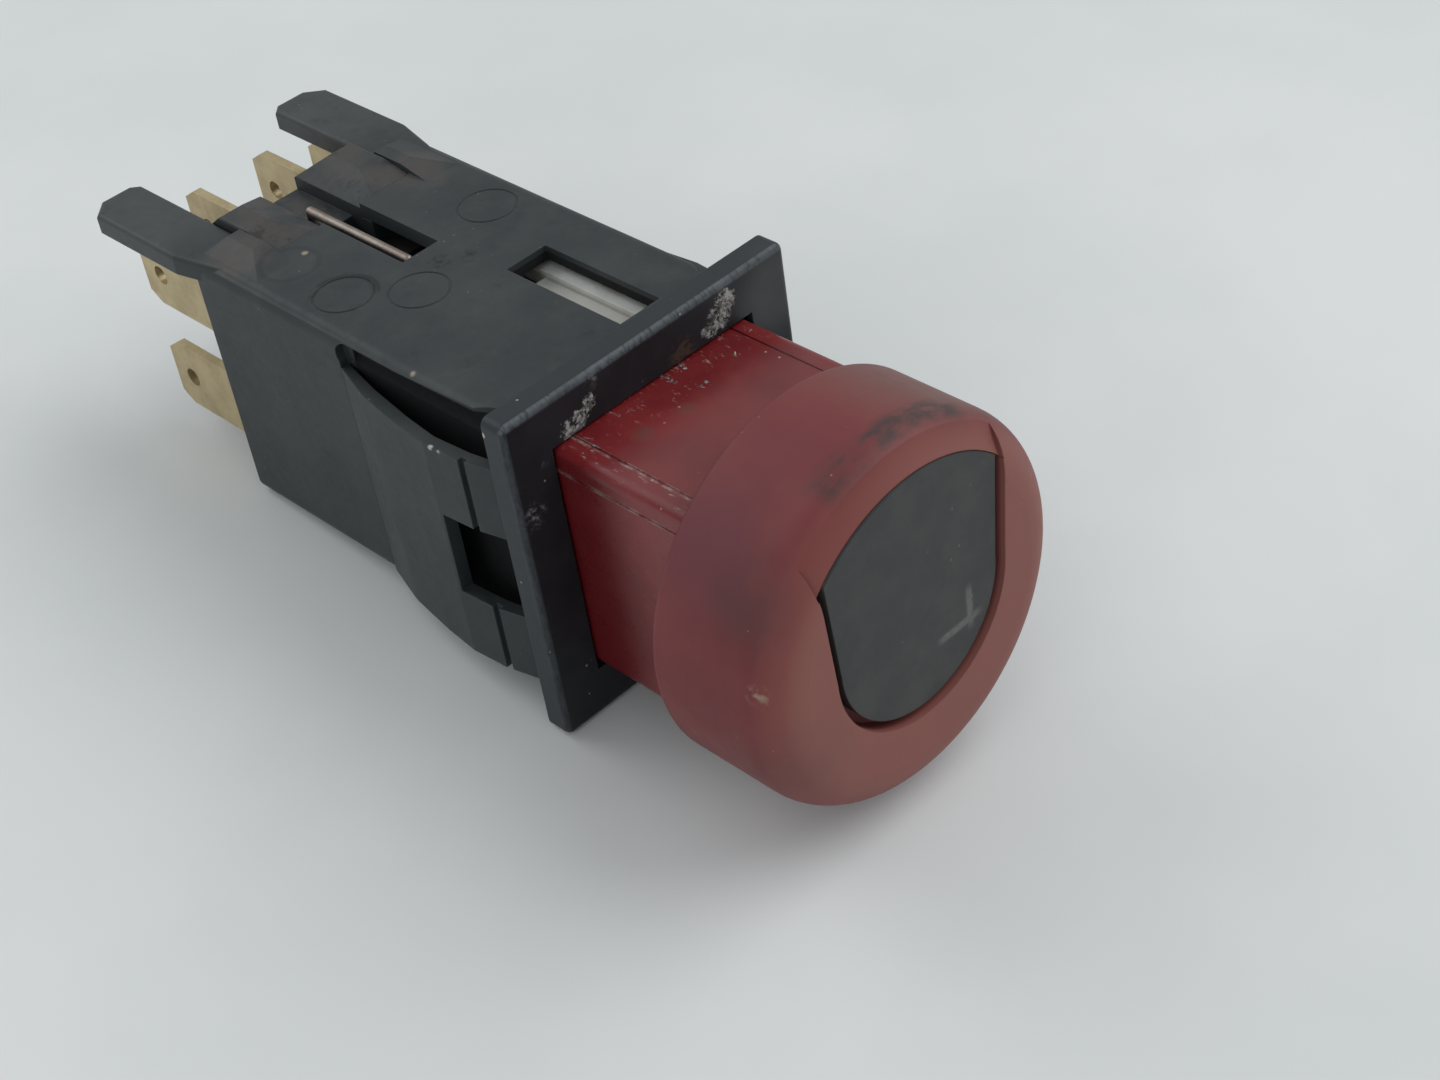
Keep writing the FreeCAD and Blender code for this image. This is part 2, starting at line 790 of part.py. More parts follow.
def latch_track():
    """A loop round a heart-shaped island: out on one side, a seat behind it, back on the other."""
    entry = ("latch_x", "latch_tip")
    right = ("latch_x + latch_shift", "latch_tip - travel")
    seat = ("latch_x", "track_seat")
    left = ("latch_x - latch_shift", "latch_tip - travel")
    loop = [entry, right, seat, left, entry]
    pieces = []
    for number in range(len(loop) - 1):
        pieces += track_piece(f"track_{number}", loop[number], loop[number + 1])
    return pieces


def slider():
    wide = ("-slider_half_width", "slider_half_width")
    tall = ("-slider_half_height", "slider_half_height")
    frame = box("slider_block", wide, ("stem_rear", "slider_rear"), tall)
    hollow = box(
        "slider_hollow",
        ("-slider_half_width + slider_wall", "slider_half_width - slider_wall"),
        ("stem_rear + slider_wall", "slider_rear + overcut"),
        ("-slider_half_height + slider_wall", "slider_half_height - slider_wall"),
    )
    frame = cut("slider_frame", frame, [hollow])
    spigot = box(
        "spigot_block",
        ("-spigot_half_width", "spigot_half_width"),
        ("-spigot_front", "stem_rear + slider_wall"),
        ("-spigot_half_height", "spigot_half_height"),
    )
    web = box("slider_web", wide, ("web_front", "web_front + web_thick"), tall)
    side_boss = box("side_boss", ("boss_inner", "slider_half_width"), ("web_front", "slider_rear"),
                    ("-boss_half_width", "boss_half_width"))
    low_boss = box("low_boss", ("-boss_half_width", "boss_half_width"), ("web_front", "slider_rear"),
                   ("-slider_half_height", "-boss_inner"))
    tongue = box("latch_tongue", ("-tongue_half_width", "tongue_half_width"), ("web_front", "tongue_end"),
                 ("tongue_under", "slider_half_height"))
    guides = []
    for name, low, high in (
        ("upper_guide", "side_bridge_top + clip_gap", "side_bridge_top + guide_width"),
        ("lower_guide", "-side_bridge_bottom - guide_width", "-side_bridge_bottom - clip_gap"),
    ):
        guides += both_sides("left_" + name, box(
            name, ("slider_half_width - slider_wall", "slider_half_width"),
            ("slider_rear - overcut", "bridge_front + bridge_thick"), (low, high)))
    guides += both_sides("left_low_guide", box(
        "right_low_guide", ("low_bridge_half_width + clip_gap", "low_bridge_half_width + guide_width"),
        ("slider_rear - overcut", "bridge_front + bridge_thick"),
        ("-slider_half_height", "-slider_half_height + slider_wall")))
    solid = fuse("slider_solid", [frame, spigot, web, low_boss, tongue]
                 + both_sides("left_side_boss", side_boss) + guides)
    throat = box(
        "spigot_bore",
        ("-spigot_half_width + slider_wall", "spigot_half_width - slider_wall"),
        ("-spigot_front - overcut", "web_front"),
        ("-spigot_half_height + slider_wall", "spigot_half_height - slider_wall"),
    )
    web_hole = rod("web_hole", "y", "web_bore", "web_thick + 2 * overcut", "0", "web_front - overcut", "0")
    tools = [throat, web_hole]
    bore_length = "slider_rear + overcut - contact_spring_front"
    tools += both_sides("left_spring_bore", rod(
        "right_spring_bore", "y", "contact_spring_bore", bore_length,
        "contact_spring_offset", "contact_spring_front", "0"))
    tools.append(rod("low_spring_bore", "y", "contact_spring_bore", bore_length,
                     "0", "contact_spring_front", "-contact_spring_offset"))
    tools.append(box("slider_gap", ("gap_left", "ledge_right"), ("gap_front", "gap_rear"),
                     ("slider_half_height - slider_wall - 2 * overlap", "slider_half_height + overcut")))
    tools.append(box("slider_ledge", ("gap_left", "ledge_right"), ("stem_rear", "gap_front + overlap"),
                     ("slider_half_height - ledge_depth", "slider_half_height + overcut")))
    keep("slider", cut("slider_body", solid, tools + latch_track()))


# ---------------------------------------------------------------- contacts and springs


def bridges():
    """Flat copper strips that close each pair of fixed contacts at the end of the stroke."""
    thick = ("bridge_front", "bridge_front + bridge_thick")
    right = box("right_bridge", ("bridge_inner", "bridge_outer"), thick,
                ("-side_bridge_bottom", "side_bridge_top"))
    keep("right_contact_bridge", right)
    keep("left_contact_bridge", mirrored("left_bridge", right))
    keep("lower_contact_bridge", box(
        "low_bridge", ("-low_bridge_half_width", "low_bridge_half_width"), thick,
        ("-low_bridge_bottom", "-low_bridge_top")))
    for node, x, z in (
        ("right_contact_spring", "contact_spring_offset", "0"),
        ("left_contact_spring", "-contact_spring_offset", "0"),
        ("lower_contact_spring", "0", "-contact_spring_offset"),
    ):
        keep(node, helix_wire(
            node + "_coil", "contact_spring_radius", "contact_spring_wire", "contact_spring_turns",
            "contact_spring_front", "bridge_front - contact_spring_front", x, z))


CONTACT_POINTS = [
    ("contact_spring_offset", "outer_upper_height"),
    ("contact_spring_offset", "outer_lower_height"),
    ("-contact_spring_offset", "outer_upper_height"),
    ("-contact_spring_offset", "outer_lower_height"),
    ("inner_column + foot_reach / 2 - low_contact_inset", "low_foot_height"),
    ("-inner_column - foot_reach / 2 + low_contact_inset", "low_foot_height"),
]


def rivets():
    """Silver contact rivets, one set on the fixed feet and one on the bridges."""
    for node, start in (
        ("fixed_contact_rivets", "foot_front - rivet_height"),
        ("moving_contact_rivets", "bridge_front + bridge_thick"),
    ):
        heads = []
        for number, (x, z) in enumerate(CONTACT_POINTS):
            heads.append(rod(f"{node}_{number}", "y", "rivet_radius", "rivet_height", x, start, z))
        group = doc.addObject("Part::Compound", node + "_group")
        group.Links = heads
        keep(node, group)


def return_spring():
    keep("return_spring", helix_wire(
        "return_coil", "spring_radius", "spring_wire", "spring_turns",
        "web_front + web_thick", "block_front - web_front - web_thick", "0", "0"))


def latch_pin():
    """A bent wire: its foot turns in the terminal block and its tip runs in the slider's track."""
    arm_wire = rod("latch_arm", "y", "latch_wire", "latch_pivot - latch_tip",
                   "latch_x", "latch_tip", "latch_height")
    tip = rod("latch_tip_leg", "z", "latch_wire", "latch_height - latch_tip_low",
              "latch_x", "latch_tip", "latch_tip_low")
    foot = rod("latch_foot_leg", "z", "latch_wire", "latch_height - latch_foot_low",
               "latch_x", "latch_pivot", "latch_foot_low")
    bends = []
    for name, y in (("latch_tip_bend", "latch_tip"), ("latch_foot_bend", "latch_pivot")):
        ball = doc.addObject("Part::Sphere", name)
        ball.setExpression("Radius", cells("latch_wire"))
        bends.append(put(ball, "latch_x", y, "latch_height"))
    keep("latch_pin", fuse("latch_wire_whole", [arm_wire, tip, foot] + bends))


# ---------------------------------------------------------------- terminals

TERMINALS = {
    "outer_upper": ("outer_column", "outer_upper_height", "blade_front", "shell_rear + 1"),
    "outer_lower": ("outer_column", "outer_lower_height", "blade_front", "shell_rear + 1"),
    "inner_upper": ("inner_column", "inner_upper_height", "inner_upper_front", "boss_rear + 1"),
    "inner_lower": ("inner_column", "inner_lower_height", "blade_front", "boss_rear + 1"),
}


def blade(name, column, height, front):
    """One right-hand blade with its pierced, tapered tip and, where it switches, a contact foot."""
    low = f"{height} - blade_width / 2"
    high = f"{height} + blade_width / 2"
    outline = [
        (front, low),
        ("blade_tip - blade_tip_taper", low),
        ("blade_tip", f"{low} + blade_tip_chamfer"),
        ("blade_tip", f"{high} - blade_tip_chamfer"),
        ("blade_tip - blade_tip_taper", high),
        (front, high),
    ]
    near = f"{column} - blade_thick / 2"
    far = f"{column} + blade_thick / 2"
    flat = prism(name + "_flat", "YZ", outline, near, far)
    hole = rod(name + "_hole", "x", "blade_hole_radius", "blade_thick * 3",
               f"{column} - blade_thick * 1.5", "blade_tip - blade_hole_setback", height)
    pierced = cut(name + "_pierced", flat, [hole])
    depth = ("foot_front", "blade_front")
    if column == "outer_column":
        foot = box(name + "_foot", (near + " - foot_reach", far), depth,
                   (f"{height} - foot_half_height", f"{height} + foot_half_height"))
        return fuse(name + "_blade", [pierced, foot])
    if front == "blade_front":
        foot = box(name + "_foot", (near, near + " + foot_reach"), depth,
                   ("low_foot_height - low_foot_half_height", "low_foot_height + low_foot_half_height"))
        return fuse(name + "_blade", [pierced, foot])
    return pierced


def terminals():
    for place, (column, height, front, _) in TERMINALS.items():
        right = blade("right_" + place, column, height, front)
        keep(f"terminal_right_{place}", right)
        keep(f"terminal_left_{place}", mirrored("left_" + place, right))


def terminal_block():
    """The rear insulator that closes the housing and holds every blade."""
    main = box("block_main", ("-block_half_width", "block_half_width"), ("block_front", "shell_rear"),
               ("-block_half_height", "block_half_height"))
    boss = box("block_boss", ("-boss_side", "boss_side"), ("block_top_front", "boss_rear"),
               ("-boss_bottom", "boss_top"))
    profile = [
        ("hump_front", "boss_top - overcut"),
        ("boss_rear", "boss_top - overcut"),
        ("boss_rear", "boss_top + overcut"),
        ("hump_fall", "hump_top"),
        ("hump_rise", "hump_top"),
        ("hump_front", "shell_top"),
    ]
    across = [
        ("-hump_half_width", "boss_top - overcut"),
        ("hump_half_width", "boss_top - overcut"),
        ("hump_half_width", "hump_top"),
        ("hump_crest_inner", "hump_top"),
        ("latch_slot_right", "hump_dip"),
        ("latch_slot_left", "hump_dip"),
        ("-hump_crest_inner", "hump_top"),
        ("-hump_half_width", "hump_top"),
    ]
    hump = common(
        "hump",
        prism("hump_back", "YZ", profile, "-hump_half_width", "hump_half_width"),
        prism("hump_across", "XZ", across, "hump_front", "boss_rear"),
    )
    crest = value("hump_top")

    def on_crest(edge):
        heights = [abs(point.z - crest) for point in edge.discretize(3)]
        return max(heights) < MATCH

    hump = rounded("hump_soft", hump, "hump_edge_round", on_crest)
    solid = fuse("block_solid", [main, boss, hump])
    tools = [
        box("block_step", ("-block_half_width - overcut", "block_half_width + overcut"),
            ("block_front - overcut", "block_top_front"),
            ("block_step_height", "block_half_height + overcut")),
        box("block_latch_slot", ("latch_slot_left", "latch_slot_right"),
            ("block_front", "boss_rear + overcut"),
            ("latch_floor", "hump_top + overcut")),
        box("block_slot_mouth", ("latch_slot_left", "latch_slot_right"),
            ("block_front - overcut", "latch_slot_floor_front"),
            ("block_step_height", "hump_top + overcut")),
        rod("latch_hole", "z", "latch_wire + latch_foot_clearance", "latch_floor", "latch_x", "latch_pivot",
            "latch_foot_low - overlap"),
        rod("lamp_socket", "y", "lamp_tube_radius", "lamp_tube_rear - block_front + overcut",
            "0", "block_front - overcut", "0"),
    ]
    tools += both_sides("left_lamp_slot", box(
        "lamp_slot", ("lamp_strip_inner", "inner_column + blade_thick / 2"),
        ("lamp_tube_rear - overlap", "lamp_strip_rear"), ("-lamp_strip_half_width", "lamp_foot_top")))
    for place, (column, height, front, rear) in TERMINALS.items():
        tools += both_sides(f"left_{place}_slot", box(
            f"{place}_slot", (f"{column} - blade_thick / 2", f"{column} + blade_thick / 2"), (front, rear),
            (f"{height} - blade_width / 2", f"{height} + blade_width / 2")))
    keep("terminal_block", cut("block", solid, tools))


# ---------------------------------------------------------------- lamp


def lamp():
    tube = rod("lamp_tube", "y", "lamp_tube_radius", "lamp_tube_front + lamp_tube_rear",
               "0", "-lamp_tube_front", "0")
    bore = rod("lamp_bore", "y", "lamp_tube_bore", "lamp_tube_front + lamp_tube_rear + 2 * overcut",
               "0", "-lamp_tube_front - overcut", "0")
    keep("lamp_holder", cut("lamp_holder_tube", tube, [bore]))
    keep("lamp_cap", rod("lamp_cap_body", "y", "lamp_cap_radius", "lamp_cap_front + lamp_cap_rear",
                         "0", "-lamp_cap_front", "0"))
    neck = rod("bulb_neck", "y", "bulb_radius", "bulb_front - bulb_radius - lamp_cap_front",
               "0", "-bulb_front + bulb_radius", "0")
    dome = doc.addObject("Part::Sphere", "bulb_dome")
    dome.setExpression("Radius", cells("bulb_radius"))
    put(dome, "0", "-bulb_front + bulb_radius", "0")
    keep("lamp_bulb", fuse("bulb", [neck, dome]))
    strip = box(
        "lamp_strip",
        ("lamp_strip_inner", "lamp_strip_inner + lamp_strip_thick"),
        ("-lamp_cap_front", "lamp_strip_rear"),
        ("-lamp_strip_half_width", "lamp_strip_half_width"),
    )
    foot = box(
        "lamp_strip_foot",
        ("lamp_strip_inner", "inner_column + blade_thick / 2"),
        ("lamp_tube_rear", "lamp_strip_rear"),
        ("-lamp_strip_half_width", "lamp_foot_top"),
    )
    right = fuse("right_lamp_strip", [strip, foot])
    keep("lamp_contact_right", right)
    keep("lamp_contact_left", mirrored("left_lamp_strip", right))


# ---------------------------------------------------------------- build, check and write

housing()
bezel_frame()
snap_wings()
stem()
head()
slider()
bridges()
rivets()
return_spring()
latch_pin()
terminals()
terminal_block()
lamp()

doc.recompute()

for item in doc.Objects:
    faults = [state for state in item.State if state in ("Invalid", "Error")]
    if faults:
        raise RuntimeError(f"{item.Name} failed: {faults}")

os.makedirs("parts", exist_ok=True)
for node, item in subparts.items():
    shape = item.Shape
    if shape.isNull() or not shape.isValid() or shape.Volume <= 0:
        raise RuntimeError(f"{node} has no valid shape")
    shape.exportStep(f"parts/{node}.step")
    print(f"{node:32s} {shape.Volume:10.2f} mm3  solids {len(shape.Solids)}")
print(len(subparts), "sub-parts")
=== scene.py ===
import math
import random

import bmesh
import bpy
from mathutils import Matrix, Vector


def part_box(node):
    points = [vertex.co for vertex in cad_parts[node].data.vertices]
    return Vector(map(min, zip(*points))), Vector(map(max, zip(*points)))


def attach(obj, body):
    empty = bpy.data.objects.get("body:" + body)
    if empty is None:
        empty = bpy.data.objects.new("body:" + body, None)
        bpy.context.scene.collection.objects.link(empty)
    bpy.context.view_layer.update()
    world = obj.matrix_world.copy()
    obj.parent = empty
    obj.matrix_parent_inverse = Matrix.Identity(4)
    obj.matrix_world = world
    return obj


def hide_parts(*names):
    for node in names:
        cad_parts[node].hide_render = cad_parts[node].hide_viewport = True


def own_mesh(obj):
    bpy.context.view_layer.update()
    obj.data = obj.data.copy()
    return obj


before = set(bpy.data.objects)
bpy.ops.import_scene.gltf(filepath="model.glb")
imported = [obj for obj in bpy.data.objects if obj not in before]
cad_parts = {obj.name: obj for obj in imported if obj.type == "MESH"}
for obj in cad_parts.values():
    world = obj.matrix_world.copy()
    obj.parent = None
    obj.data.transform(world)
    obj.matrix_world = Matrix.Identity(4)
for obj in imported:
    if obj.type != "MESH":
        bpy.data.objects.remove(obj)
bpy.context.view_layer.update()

MM = 0.001
BEVEL_SAMPLES = 4

# socket numbers of the colour mixing node
MIX_AMOUNT = 0
MIX_FIRST = 6
MIX_SECOND = 7
MIX_RESULT = 2

# ---------------------------------------------------------------- paint: node materials in millimetres


class Paint:
    """A node material whose patterns sit in the frame's own millimetres."""

    def __init__(self, name, rough, metal=0.0, specular=0.5):
        self.material = bpy.data.materials.new(name)
        self.material.use_nodes = True
        self.tree = self.material.node_tree
        self.shader = self.tree.nodes["Principled BSDF"]
        self.shader.inputs["Roughness"].default_value = rough
        self.shader.inputs["Metallic"].default_value = metal
        self.shader.inputs["Specular IOR Level"].default_value = specular
        metres = self.node("ShaderNodeTexCoord").outputs["Object"]
        scale = self.node("ShaderNodeVectorMath", {0: metres, 3: 1.0 / MM}, operation="SCALE")
        self.place = scale.outputs["Vector"]
        split = self.node("ShaderNodeSeparateXYZ", {0: self.place})
        self.axes = {"x": split.outputs[0], "y": split.outputs[1], "z": split.outputs[2]}
        facing = self.node("ShaderNodeNewGeometry")
        self.flat_normal = facing.outputs["Normal"]
        self.up = self.node("ShaderNodeSeparateXYZ", {0: self.flat_normal}).outputs[2]

    def node(self, kind, inputs=None, **settings):
        made = self.tree.nodes.new(kind)
        for key, setting in settings.items():
            setattr(made, key, setting)
        for key, given in (inputs or {}).items():
            if isinstance(given, bpy.types.NodeSocket):
                self.tree.links.new(given, made.inputs[key])
            else:
                made.inputs[key].default_value = given
        return made

    def math(self, how, first, second=0.0):
        return self.node("ShaderNodeMath", {0: first, 1: second}, operation=how).outputs[0]

    def noise(self, scale, detail=3.0, rough=0.55, stretch=(1, 1, 1), shift=(0, 0, 0)):
        """Noise with the given number of features per millimetre."""
        mapped = self.node("ShaderNodeMapping", {"Vector": self.place, "Scale": stretch, "Location": shift})
        made = self.node("ShaderNodeTexNoise", {"Vector": mapped.outputs[0], "Scale": scale, "Detail": detail,
                                                "Roughness": rough})
        return made.outputs["Fac"]

    def specks(self, scale, size, stretch=(1, 1, 1), shift=(0, 0, 0)):
        """Small scattered dots, 1 at their middles."""
        mapped = self.node("ShaderNodeMapping", {"Vector": self.place, "Scale": stretch, "Location": shift})
        cells = self.node("ShaderNodeTexVoronoi", {"Vector": mapped.outputs[0], "Scale": scale})
        return self.step(cells.outputs["Distance"], size, size * 0.5)

    def step(self, given, low, high):
        """0 at low and 1 at high, smooth between."""
        return self.node(
            "ShaderNodeMapRange", {0: given, 1: low, 2: high}, interpolation_type="SMOOTHSTEP").outputs[0]

    def ball(self, centre, radius, soft):
        """1 within a distance of a point in millimetres, fading out over soft."""
        far = self.node(
            "ShaderNodeVectorMath", {0: self.place, 1: centre}, operation="DISTANCE").outputs["Value"]
        return self.step(far, radius + soft, radius)

    def ring(self, centre, radius, width):
        """1 on a circle in the XY plane, fading out over width on both sides."""
        flat = self.node(
            "ShaderNodeVectorMath", {0: self.place, 1: (1, 1, 0)}, operation="MULTIPLY").outputs[0]
        far = self.node(
            "ShaderNodeVectorMath", {0: flat, 1: (*centre, 0)}, operation="DISTANCE").outputs["Value"]
        off = self.math("ABSOLUTE", self.math("SUBTRACT", far, radius))
        return self.step(off, width, width * 0.3)

    def balls(self, spots):
        """1 within any of several spots, each a centre, a radius and a fade."""
        return self.either(*(self.ball(*spot) for spot in spots))

    def cloud(self, low, high, scale, detail=3.0, rough=0.55, stretch=(1, 1, 1), shift=(0, 0, 0)):
        """Patches of noise, 0 up to low and 1 from high."""
        return self.step(self.noise(scale, detail, rough, stretch, shift), low, high)

    def either(self, *masks):
        """The strongest of several masks."""
        total = masks[0]
        for mask in masks[1:]:
            total = self.math("MAXIMUM", total, mask)
        return total

    def slab(self, axis, low, high, soft=0.3):
        """1 between two heights on an axis, fading out over soft."""
        rising = self.step(self.axes[axis], low - soft, low)
        falling = self.step(self.axes[axis], high + soft, high)
        return self.math("MULTIPLY", rising, falling)

    def product(self, *masks):
        """Where all of several masks are."""
        total = masks[0]
        for mask in masks[1:]:
            total = self.math("MULTIPLY", total, mask)
        return total

    def faded(self, mask, strength):
        return self.math("MULTIPLY", mask, strength)

    def tint(self, colour, stain, mask, strength):
        """The colour with a stain over it, at part strength where the mask is full."""
        return self.mix(colour, stain, self.faded(mask, strength))

    def mix(self, first, second, amount):
        made = self.tree.nodes.new("ShaderNodeMix")
        made.data_type = "RGBA"
        for key, given in ((MIX_AMOUNT, amount), (MIX_FIRST, first), (MIX_SECOND, second)):
            if isinstance(given, bpy.types.NodeSocket):
                self.tree.links.new(given, made.inputs[key])
            elif key == MIX_AMOUNT:
                made.inputs[key].default_value = given
            else:
                made.inputs[key].default_value = (*given, 1.0)
        return made.outputs[MIX_RESULT]

    def edges(self, radius, low=0.97, high=0.85):
        """1 on sharp outer edges, 0 on flats."""
        soft = self.node("ShaderNodeBevel", {"Radius": radius * MM}, samples=BEVEL_SAMPLES).outputs[0]
        same = self.node(
            "ShaderNodeVectorMath", {0: soft, 1: self.flat_normal},
            operation="DOT_PRODUCT").outputs["Value"]
        return self.step(same, low, high)

    def finish(self, colour, rough=None, height=None, bump=0.2, depth=0.02, soften=0.0):
        """Wires up the shader: its colour, roughness, fine relief and softened edges."""
        self.tree.links.new(colour, self.shader.inputs["Base Color"])
        if rough is not None:
            self.tree.links.new(rough, self.shader.inputs["Roughness"])
        normal = None
        if soften:
            normal = self.node("ShaderNodeBevel", {"Radius": soften * MM}, samples=BEVEL_SAMPLES).outputs[0]
        if height is not None:
            bumped = self.node(
                "ShaderNodeBump", {"Height": height, "Strength": bump, "Distance": depth * MM})
            if normal is not None:
                self.tree.links.new(normal, bumped.inputs["Normal"])
            normal = bumped.outputs[0]
        if normal is not None:
            self.tree.links.new(normal, self.shader.inputs["Normal"])
        return self.material

    def span(self, given, low, high):
        """Turn a 0 to 1 value into low to high."""
        return self.node("ShaderNodeMapRange", {0: given, 3: low, 4: high}).outputs[0]


# ---------------------------------------------------------------- linear colours

SHELL_BLACK = (0.024, 0.03, 0.033)
SHELL_GREY = (0.037, 0.043, 0.045)
SHELL_DUST = (0.095, 0.088, 0.08)
SHELL_TAN_DUST_AND_HIGHLIGHT = (0.11, 0.086, 0.077)
ARM_PAINTED_SHEEN = (0.07, 0.074, 0.075)
STAIN = (0.008, 0.009, 0.01)
BARE_CHIP = (0.5, 0.5, 0.48)
WORN_EDGE = (0.075, 0.085, 0.09)
INNER_SHADE = (0.003, 0.003, 0.004)
BLOCK_BLACK = (0.026, 0.031, 0.033)
BLOCK_GREY = (0.04, 0.045, 0.046)
BLOCK_TAN = (0.1, 0.078, 0.07)
BLOCK_GRIME = (0.014, 0.014, 0.015)
BLOCK_CRUMB = (0.4, 0.34, 0.24)
BEZEL_BLACK = (0.01, 0.011, 0.014)
BEZEL_GREY = (0.017, 0.018, 0.022)
BEZEL_LIT_SIDE = (0.032, 0.037, 0.041)
BEZEL_HIGHLIGHT_AND_SCUFF = (0.13, 0.15, 0.165)
CRUST_SHADOW = (0.1, 0.1, 0.1)
CRUST_PALE = (0.42, 0.42, 0.4)
CHIPPED_BROWN = (0.075, 0.045, 0.03)
BEZEL_HAZE = (0.07, 0.078, 0.08)
BEZEL_EDGE = (0.08, 0.092, 0.1)
STEM_DEEP_RED = (0.155, 0.011, 0.014)
STEM_RED = (0.21, 0.02, 0.022)
STEM_HAZE = (0.17, 0.07, 0.067)
STEM_SCRATCH = (0.46, 0.35, 0.33)
STEM_DOT = (0.5, 0.4, 0.36)
STEM_SMEAR = (0.11, 0.055, 0.04)
FLANK_PAINTED_SHADE = (0.08, 0.004, 0.006)
FLANK_PAINTED_LIGHT = (0.25, 0.06, 0.06)
HEAD_DEEP_RED = (0.155, 0.028, 0.032)
HEAD_RED = (0.2, 0.043, 0.042)
HEAD_BROWN = (0.17, 0.1, 0.083)
HEAD_VIVID = (0.17, 0.034, 0.042)
HEAD_PURPLE = (0.12, 0.034, 0.05)
FACE_PALE_RED = (0.27, 0.1, 0.082)
RIM_RED = (0.2, 0.042, 0.038)
HEAD_SOIL_AND_SHADE = (0.04, 0.037, 0.036)
HEAD_SCUFF = (0.36, 0.26, 0.19)
PLATE_CHARCOAL = (0.046, 0.046, 0.047)
PLATE_GREY = (0.058, 0.057, 0.056)
PLATE_SCUFF = (0.26, 0.26, 0.25)
PLATE_FLUFF = (0.16, 0.16, 0.155)
SLIDER_WHITE = (0.8, 0.8, 0.77)
SLIDER_CREAM = (0.7, 0.69, 0.65)
SLIDER_LEDGE = (0.42, 0.38, 0.33)
GLASS_CLEAR = (0.93, 0.93, 0.9)
GLASS_SMOKY = (0.8, 0.78, 0.7)
FLAKE_PALE = (0.4, 0.39, 0.37)
FLAKE_DARK = (0.11, 0.105, 0.1)
TABLE_GREY = (0.72, 0.735, 0.735)
TABLE_PALE = (0.78, 0.79, 0.79)
SHELL_CRUMB = (0.3, 0.25, 0.18)
SLIDER_DIRT = (0.3, 0.24, 0.18)

# ---------------------------------------------------------------- places on the pieces

# centre, radius and fade, in millimetres, of soiled, chipped or faded spots, and of a painted highlight and a
# painted shade
HUMP_DUST_AND_HIGHLIGHT = (((-9.0, 35.4, 12.0), 1.3, 2.6), ((7.5, 33.0, 12.0), 0.5, 3.5))
TOP_BLOTS = (((-0.2, 21.2, 11.6), 0.3, 1.2), ((1.6, 20.0, 11.6), 0.2, 1.0))
SHELL_CRUMBS = (
    ((-5.5, 31.3, 11.65), 0.1, 0.3), ((-10.3, 32.4, 11.2), 0.1, 0.4), ((-10.8, 11.7, 11.5), 0.05, 0.3))
WING_CHIPS = (((-13.75, 7.1, 8.8), 0.12, 0.2), ((-13.8, 6.2, 8.8), 0.08, 0.2))
BEZEL_FLECKS = (
    ((-12.5, -2.1, 6.0), 0.5, 1.0), ((-10.8, -2.1, 9.5), 0.1, 0.4), ((-5.6, -2.1, 13.4), 0.2, 0.6))
BEZEL_GAP = ((2.9, -2.1, 10.9), 0.5, 1.2)
BEZEL_CLOUD = ((12.3, -2.1, 11.0), 1.5, 3.0)
BEZEL_CORNER_CHIP = ((-13.85, 0.0, 13.1), 0.12, 0.2)
STEM_SMEARS = (((-4.7, -5.8, 10.1), 0.3, 1.0), ((-1.0, -6.3, 10.1), 0.2, 0.9))
HEAD_CROWN = ((-3.3, -19.2, 14.4), 0.5, 5.5)
HEAD_SHOULDER = ((-11.0, -18.0, 9.9), 1.0, 6.0)
HEAD_SMUDGE = ((-12.1, -22.8, 8.5), 0.6, 4.0)
HEAD_LOW_SHADE = ((-13.0, -25.0, -5.0), 1.0, 6.0)
HEAD_SIDE_SCUFF = ((-13.9, -24.6, 3.0), 0.2, 0.9)

# centre, radius and width of dark rims round the marks on the housing's top
LEFT_MARK_RIM = ((-7.4, 24.0), 2.5, 0.5)
REAR_MARK_RIM = ((-7.2, 31.0), 2.3, 0.35)

# axis, low end, high end and fade of bands across a piece, in millimetres
BEZEL_FACE = ("y", -2.6, -1.85, 0.15)
BEZEL_TOP_LIP = ("z", 13.95, 15.0, 0.25)
BEZEL_TOP_EDGE = ("y", -2.1, -1.85, 0.15)
BEZEL_LEFT_LIP = ("x", -15.0, -13.5, 0.2)
BEZEL_LEFT_EDGE = ("y", -2.1, -1.75, 0.2)
STEM_HAZE_BAND = ("y", -16.0, -9.5, 4.5)
STEM_TOP_GROOVE = ("x", -8.05, -7.75, 0.12)
STEM_SIDE_GROOVE = ("z", 8.1, 8.4, 0.12)
STEM_LEFT_EDGE = ("x", -10.0, -8.3, 0.8)
STEM_REAR_END = ("y", -3.6, -2.0, 2.5)
HEAD_BROWN_BAND = ("y", -23.6, -15.0, 1.5)
HEAD_RIM = ("y", -25.7, -24.8, 0.7)
GRIME_DEPTH = ("y", -24.0, -23.1, 1.2)
GRIME_WIDTH = ("x", -4.5, 6.5, 2.0)
SCUFF_ACROSS = ("x", 2.4, 5.0, 1.4)
SCUFF_FOOT = ("z", -3.1, -2.8, 0.35)
SCUFF_UPRIGHT = ("z", -3.0, -0.8, 1.2)
SCUFF_STEM = ("x", 4.75, 5.0, 0.35)
SLIDER_LEDGE_HEIGHT = ("z", 8.9, 9.3, 0.15)
SLIDER_LEDGE_WIDTH = ("x", 1.6, 5.4, 0.1)
# the band inside the housing that is painted dark as shade
SHELL_INSIDE = ("z", -12.0, 11.1, 0.05)

# where a fade along an axis starts and where it is full, in millimetres
ARM_SHEEN_FADE = (38.0, 45.0)
